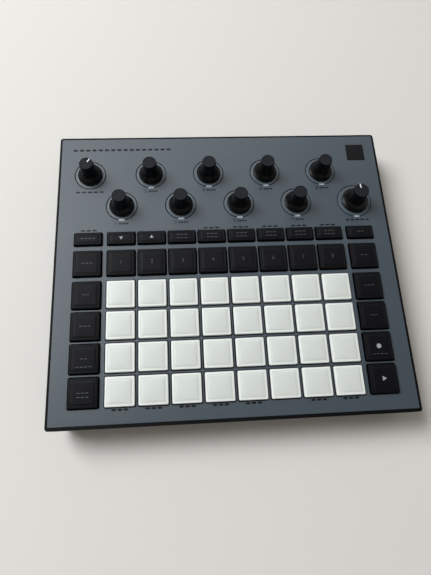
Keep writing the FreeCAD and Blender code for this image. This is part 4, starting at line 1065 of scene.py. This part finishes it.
class DRUM_OT_buttons(Step, bpy.types.Operator):
    """Makes the 28 black keys and their marks"""

    bl_idname = "drum.buttons"
    bl_label = "Black keys"

    def make(self, sizes, colours):
        black = made("black silicone", colours)
        for group, places in key_places(sizes).items():
            keys = bmesh.new()
            for x, y, width, depth in places:
                use_up(keys, key_shape(width, depth, sizes.key_crown, sizes), [(x, y, KEY_TOP)])
            piece(f"keys_{group}", keys, group, [black], [group])
        pale, faint, dim = (made(f"{kind} key ink", colours) for kind in ("pale", "faint", "dim"))
        height = KEY_TOP + sizes.print_height / 2
        for name, body, shape, ink in (
            ("octave_keys", "function_row", self.arrows(sizes, height), pale),
            ("transport_keys", "right_column", self.play_marks(sizes, height), pale),
            *((body, body, dashes, faint) for body, dashes in self.dash_rows(sizes, height)),
            ("track_row", "track_row", self.numbers(sizes, height), dim),
        ):
            piece(f"marks_{name}", shape, body, [ink], weighted=False)

    def arrows(self, sizes, height):
        """The two arrows on the thin keys over the first two columns."""
        shape = bmesh.new()
        for x, turn in zip(COLUMNS, (math.pi, 0.0)):
            use_up(shape, triangle(ARROW_RADIUS, sizes), [(x, THIN_Y, height)], turn)
        return shape

    def play_marks(self, sizes, height):
        """The triangle and the dot on the first two keys of the right column."""
        shape = copies(triangle(PLAY_RADIUS, sizes), (RIGHT_X, PAD_ROWS[0], height), turn=-math.pi / 2)
        dot = lathe(((0, 0), (DOT_RADIUS, 0), (DOT_RADIUS, sizes.print_height), (0, sizes.print_height)), 32)
        return use_up(shape, dot, [(RIGHT_X, PAD_ROWS[1], height - sizes.print_height / 2)])

    def dash_rows(self, sizes, height):
        """For each group of keys with faint legends: its name and its dashes."""
        thin = [(x, THIN_Y + side * KEY_LINE, 3) for x in COLUMNS[2:] for side in (-1, 1)]
        left = [(LEFT_X, y, count) for y, count in zip(SIDE_ROWS, (3, 2, 3, 2, 3))]
        left += [(LEFT_X, SIDE_ROWS[0] - 2 * KEY_LINE, 3), (LEFT_X, SIDE_ROWS[1] + LOW_LEGEND, 4)]
        right = [(RIGHT_X, y, count) for y, count in zip(SIDE_ROWS[2:], (2, 3, 2))]
        right += [(RIGHT_X, SIDE_ROWS[1] + LOW_LEGEND, 4)]
        rows = {
            "function_row": [(LEFT_X, THIN_Y, 4), (RIGHT_X, THIN_Y, 2)] + thin,
            "left_column": left,
            "right_column": right,
        }
        for body, spots in rows.items():
            curve = flat_curve(f"dashes_{body}", sizes.print_height)
            for spot in spots:
                add_dashes(curve, *spot, *KEY_DASH)
            yield body, merged(curve_mesh(curve, height))

    def numbers(self, sizes, height):
        """The numbers on the track keys."""
        shape = bmesh.new()
        for number, x in enumerate(COLUMNS, start=1):
            add_number(shape, number, TRACK_NUMBER_SIZE, (x, TRACK_Y, height), sizes)
        return shape


class DRUM_OT_print(Step, bpy.types.Operator):
    """Prints the plain numbers and dashes on the panel"""

    bl_idname = "drum.print"
    bl_label = "Panel print"

    def make(self, sizes, colours):
        height = PANEL_TOP + sizes.print_height / 2
        curve = flat_curve("panel_marks", sizes.print_height)
        legends = {name: (spot.x, spot.y - KNOB_LEGEND_DROP) for name, spot in KNOB_PLACES.items()}
        rows = [(*legends["volume_knob"], *VOLUME_DASHES)]
        for name in MACRO_NAMES:
            x, y = legends[name]
            rows.append((x + MACRO_DASH_SHIFT, y, *MACRO_DASHES))
        x, y = legends["filter_knob"]
        rows.append((x, y - FILTER_LEGEND_DROP, *FILTER_DASHES))
        rows += [(x, THIN_Y + THIN_LEGEND_RISE, *THIN_DASHES) for x in [LEFT_X] + COLUMNS[3:]]
        rows += [(x, PAD_ROWS[0] - PAD_LEGEND_DROP, *PAD_DASHES) for x in COLUMNS[:5] + COLUMNS[6:]]
        for row in rows:
            add_dashes(curve, *row)
        for number in range(WORD_BARS):
            spot = (WORD_START[0] + number * WORD_PITCH, WORD_START[1])
            add_rectangle(curve, spot, WORD_BAR, WORD_BAR_CORNER)
        marks = merged(curve_mesh(curve, height))
        for number, name in enumerate(MACRO_NAMES, start=1):
            x, y = legends[name]
            add_number(marks, number, MACRO_NUMBER_SIZE, (x + MACRO_NUMBER_SHIFT, y, height), sizes)
        ink = made("panel ink", colours)
        piece("panel_print", marks, "case", [ink], weighted=False)
        inlay = copies(block(INLAY_SIZE, INLAY_CORNER, 0.00005, 2), INLAY_PLACE)
        piece("corner_inlay", inlay, "case", [made("gloss inlay", colours)])


class DRUM_OT_knobs(Step, bpy.types.Operator):
    """Makes the ten flared knobs and the white lines on two of them"""

    bl_idname = "drum.knobs"
    bl_label = "Knobs"

    def make(self, sizes, colours):
        finishes = [made("soft touch black", colours), made("matt knob top", colours)]
        white = made("pointer white", colours)
        grips = {name: sizes.grip for name in KNOB_NAMES}
        grips["filter_knob"] = sizes.filter_grip
        for name, spot in KNOB_PLACES.items():
            skirt = sizes.filter_skirt if name == "filter_knob" else sizes.skirt
            knob = copies(self.knob(skirt, grips[name], sizes), (spot.x, spot.y, 0))
            piece(f"cap_{name}", knob, name, finishes, [name])
        for name, angle in POINTER_ANGLES.items():
            spot = KNOB_PLACES[name]
            reach = grips[name] - sizes.pointer_length / 2 - POINTER_INSET
            out = Matrix.Rotation(angle, 3, "Z") @ Vector((0, reach, 0))
            size = (sizes.pointer_width, sizes.pointer_length, POINTER_THICKNESS)
            bar = block(size, sizes.pointer_width * 0.45, 0.00005, 3)
            line = copies(bar, (spot.x + out.x, spot.y + out.y, KNOB_TOP), turn=angle)
            piece(f"pointer_{name}", line, name, [white])

    def knob(self, skirt, grip, sizes):
        """A knob with a hollow flare and a slightly sunk top."""
        foot = PANEL_TOP + sizes.knob_foot
        edge = foot + sizes.skirt_edge
        begin = Vector((skirt - SHOULDER_INSET, edge, 0))
        end = Vector((grip + sizes.grip_taper, edge + sizes.flare_height, 0))
        chord = end - begin
        rise = math.sqrt(sizes.flare_radius**2 - (chord.length / 2) ** 2)
        hub = (begin + end) / 2 + Vector((chord.y, -chord.x, 0)).normalized() * rise
        low_arm = (begin - hub).normalized()
        high_arm = (end - hub).normalized()
        arms = [low_arm.slerp(high_arm, step / FLARE_STEPS) for step in range(1, FLARE_STEPS)]
        flare = [begin, *(hub + arm * sizes.flare_radius for arm in arms), end]
        profile = [(0, foot)]
        profile += [(skirt + out, foot + up) for out, up in SKIRT_FOOT]
        profile += [(skirt + out, edge + up) for out, up in SKIRT_SHOULDER]
        profile += [(point.x, point.y) for point in flare]
        profile += [(grip + out, KNOB_TOP + up) for out, up in GRIP_TOP]
        bm = lathe(profile + [(0, KNOB_TOP - TOP_SINK)])
        for face in bm.faces:
            if face.calc_center_median().z > KNOB_TOP - TOP_FINISH_DEPTH:
                face.material_index = 1
        return bm


class DRUM_OT_case(Step, bpy.types.Operator):
    """Finishes the black case, its feet, its label and its screws"""

    bl_idname = "drum.case"
    bl_label = "Case"

    def make(self, sizes, colours):
        repaint("base_case", made("textured case", colours))
        steel = made("black steel", colours)
        repaint("case_screws", steel)
        low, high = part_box("rubber_feet")
        tall = high.z - low.z
        deep = sizes.foot_groove
        profile = [(0, tall), (FOOT_RADIUS, tall)]
        profile += [(FOOT_RADIUS - inset, height) for inset, height in FOOT_EDGE]
        profile += [(FOOT_RADIUS - inset, sunk * deep) for inset, sunk in FOOT_GROOVE]
        profile += [(radius, sunk * deep) for radius, sunk in FOOT_DIMPLE]
        sides = (low.x + FOOT_RADIUS, high.x - FOOT_RADIUS)
        ends = (low.y + FOOT_RADIUS, high.y - FOOT_RADIUS)
        feet = copies(lathe(profile, 56), *((x, y, low.z) for x in sides for y in ends))
        rubber = made("foot rubber", colours)
        piece("grooved_feet", feet, "case", [rubber], ["rubber_feet"])
        size = (sizes.label_width, sizes.label_depth, LABEL_THICKNESS)
        plate = block(size, LABEL_CORNER, LABEL_EDGE, 3)
        label = copies(plate, (0, LABEL_Y, CASE_LOW.z - UNDER_LIFT), tilt=math.pi)
        piece("bare_label", label, "case", [made("bare label", colours)])
        self.add_drives(steel)

    def add_drives(self, steel):
        """The star drives in the heads of the case screws."""
        star = bmesh.new()
        bmesh.ops.create_circle(star, cap_ends=False, radius=DRIVE_RADIUS, segments=48)
        outer_edges = star.edges[:]
        inner = bmesh.ops.create_circle(star, cap_ends=False, radius=DRIVE_RADIUS * DRIVE_INNER, segments=48)
        for vert in inner["verts"]:
            swell = 1 + DRIVE_SWELL * math.cos(6 * math.atan2(vert.co.y, vert.co.x))
            vert.co.x *= swell
            vert.co.y *= swell
        inner_edges = [edge for edge in star.edges if edge not in outer_edges]
        bmesh.ops.bridge_loops(star, edges=outer_edges + inner_edges)
        bmesh.ops.solidify(star, geom=star.faces[:], thickness=DRIVE_DEPTH)
        bmesh.ops.recalc_face_normals(star, faces=star.faces)
        low = min(vert.co.z for vert in star.verts)
        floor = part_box("case_screws")[0].z + UNDER_LIFT
        drives = copies(star, *((x, y, floor - low) for x, y in SCREWS))
        piece("screw_drives", drives, "case", [steel])


class DRUM_OT_rear(Step, bpy.types.Operator):
    """Finishes the sockets, the ports and the power button on the rear face"""

    bl_idname = "drum.rear"
    bl_label = "Rear sockets"

    def make(self, sizes, colours):
        for node in SOCKETS:
            repaint(node, made("socket black", colours))
        plated = made("plated steel", colours)
        repaint("rear_ports", plated)
        self.add_rims(sizes, plated)
        self.add_button(made("button black", colours))

    def add_rims(self, sizes, plated):
        """Plated rims round the jack bores and in the pin holes."""
        rims = bmesh.new()
        tall = sizes.rim_height
        for node, bore, width in JACK_RIMS:
            crest = ((bore + width * 0.3, tall), (bore + width * 0.7, tall))
            rim = lathe(((bore, 0), (bore, tall * 0.6), *crest, (bore + width, 0), (bore, 0)), 48)
            places = [(x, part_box(node)[1].y, SOCKET_Z) for x in SOCKETS[node]]
            use_up(rims, rim, places, tilt=-math.pi / 2)
        foot = (PIN_BORE, PIN_DEPTH)
        sleeve = lathe((foot, (PIN_BORE, 0), (PIN_SLEEVE, 0), (PIN_SLEEVE, PIN_DEPTH), foot), 20)
        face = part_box("midi_sockets")[1].y
        turns = [math.pi + step * math.pi / 4 for step in range(5)]
        pins = [
            (x + PIN_CIRCLE * math.cos(turn), face, SOCKET_Z + PIN_CIRCLE * math.sin(turn))
            for x in SOCKETS["midi_sockets"]
            for turn in turns
        ]
        use_up(rims, sleeve, pins, tilt=-math.pi / 2)
        piece("socket_rims", rims, "case", [plated])

    def add_button(self, black):
        """The power button, with a dished face and a soft edge."""
        low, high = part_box("power_button")
        flange = (high.x - low.x) / 2
        long = high.y - low.y
        front, back = CAP_FLANGE
        profile = [*CAP_FACE, (CAP_RADIUS, CAP_FACE_EDGE), (CAP_RADIUS, front)]
        profile += [(flange, front), (flange, back), (CAP_RADIUS, back), (CAP_RADIUS, -long), (0, -long)]
        place = ((low.x + high.x) / 2, high.y, (low.z + high.z) / 2)
        shape = copies(lathe(profile, 48), place, tilt=-math.pi / 2)
        piece("power_cap", shape, "power_button", [black], ["power_button"])


class DRUM_OT_inside(Step, bpy.types.Operator):
    """Finishes what sits inside the case"""

    bl_idname = "drum.inside"
    bl_label = "Inside"

    def make(self, sizes, colours):
        repaint("circuit_boards", made("green laminate", colours))
        repaint("key_mat", made("mat rubber", colours))
        repaint("rotary_controls", made("stamped steel", colours))
        repaint("battery", made("foil pouch", colours))


class DRUM_OT_stage(bpy.types.Operator):
    """Lays the table top, sets the lamps and the camera"""

    bl_idname = "drum.stage"
    bl_label = "Stage"

    def execute(self, context):
        scene = context.scene
        scene.view_settings.view_transform = "Standard"
        self.lay_floor(scene)
        self.light(scene)
        self.aim(scene)
        return {"FINISHED"}

    def lay_floor(self, scene):
        """A plain pale table top."""
        bm = bmesh.new()
        bmesh.ops.create_grid(bm, x_segments=8, y_segments=8, size=FLOOR_HALF)
        mesh = bpy.data.meshes.new("table_top")
        bm.to_mesh(mesh)
        bm.free()
        floor = bpy.data.objects.new("table_top", mesh)
        scene.collection.objects.link(floor)
        material = made("pale table", scene.drum_colours)
        self.fade_far(material.node_tree)
        mesh.materials.append(material)

    def fade_far(self, tree):
        """Lets the table top pass into the backdrop away from the object."""
        place = tree.nodes.new("ShaderNodeTexCoord")
        reach = tree.nodes.new("ShaderNodeVectorMath")
        reach.operation = "LENGTH"
        tree.links.new(place.outputs["Object"], reach.inputs[0])
        far = smooth_range(tree, reach.outputs["Value"], *FLOOR_FADE)
        share = math_node(tree, "MULTIPLY", far, seen_rays(tree))
        glow = add(tree, "ShaderNodeEmission", Color=BACKDROP, Strength=1.0)
        matt = tree.nodes["Principled BSDF"]
        mix_shaders(tree, share, matt.outputs[0], glow.outputs[0], "Material Output")

    def light(self, scene):
        """A soft key lamp from the left, a wide window behind that only shows as sheen, and an even sky."""
        for name, place, size, power, lights_up in LAMPS:
            lamp = bpy.data.lights.new(name, "AREA")
            lamp.size = size
            lamp.energy = power
            lamp.color = LAMP_COLOUR
            thing = bpy.data.objects.new(name, lamp)
            thing.location = place
            thing.rotation_euler = (-Vector(place)).to_track_quat("-Z", "Y").to_euler()
            thing.visible_diffuse = lights_up
            scene.collection.objects.link(thing)
        world = bpy.data.worlds.new("even_sky")
        world.use_nodes = True
        tree = world.node_tree
        sky = tree.nodes["Background"]
        sky.inputs["Color"].default_value = SKY_COLOUR
        sky.inputs["Strength"].default_value = SKY_STRENGTH
        backdrop = add(tree, "ShaderNodeBackground", Strength=1.0)
        place = tree.nodes.new("ShaderNodeTexCoord")
        height = smooth_range(tree, vector_part(tree, place.outputs["Generated"], "Z"), *BACKDROP_SPAN)
        tree.links.new(mix_colours(tree, height, BACKDROP, BACKDROP_TOP), backdrop.inputs["Color"])
        mix_shaders(tree, seen_rays(tree), sky.outputs[0], backdrop.outputs[0], "World Output")
        scene.world = world

    def aim(self, scene):
        """The camera at the photograph's place and angle."""
        camera = bpy.data.cameras.new("photo_camera")
        camera.sensor_width = SENSOR_WIDTH
        camera.lens = LENS
        camera.clip_start = CLIP_START
        thing = bpy.data.objects.new("photo_camera", camera)
        turn = Matrix([Vector(axis) for axis in CAMERA_AXES]).transposed()
        thing.matrix_world = Matrix.Translation(CAMERA_PLACE) @ turn.to_4x4()
        scene.collection.objects.link(thing)
        scene.camera = thing


class DRUM_PT_sidebar(bpy.types.Panel):
    """Lists the steps in the order in which they run"""

    bl_label = "Drum Machine"
    bl_idname = "DRUM_PT_sidebar"
    bl_space_type = "VIEW_3D"
    bl_region_type = "UI"
    bl_category = "Drum Machine"

    def draw(self, context):
        for step in STEPS:
            self.layout.operator(step.bl_idname)
        for group in (context.scene.drum_sizes, context.scene.drum_colours):
            box = self.layout.box()
            for name in group.__annotations__:
                box.prop(group, name)


STEPS = (
    DRUM_OT_stage,
    DRUM_OT_case,
    DRUM_OT_panel,
    DRUM_OT_collars,
    DRUM_OT_lights,
    DRUM_OT_print,
    DRUM_OT_pads,
    DRUM_OT_buttons,
    DRUM_OT_knobs,
    DRUM_OT_rear,
    DRUM_OT_inside,
)
CLASSES = (DrumMachineSizes, DrumMachineColours) + STEPS + (DRUM_PT_sidebar,)


def register():
    """Registers the classes and hangs the two groups of values on the scene."""
    for item in CLASSES:
        bpy.utils.register_class(item)
    bpy.types.Scene.drum_sizes = PointerProperty(type=DrumMachineSizes)
    bpy.types.Scene.drum_colours = PointerProperty(type=DrumMachineColours)


def unregister():
    """Takes the groups and the classes away again."""
    del bpy.types.Scene.drum_colours
    del bpy.types.Scene.drum_sizes
    for item in reversed(CLASSES):
        bpy.utils.unregister_class(item)


def main():
    """Runs every step."""
    register()
    bpy.ops.drum.stage()
    bpy.ops.drum.case()
    bpy.ops.drum.panel()
    bpy.ops.drum.collars()
    bpy.ops.drum.lights()
    bpy.ops.drum.print()
    bpy.ops.drum.pads()
    bpy.ops.drum.buttons()
    bpy.ops.drum.knobs()
    bpy.ops.drum.rear()
    bpy.ops.drum.inside()


if __name__ == "__main__":
    main()
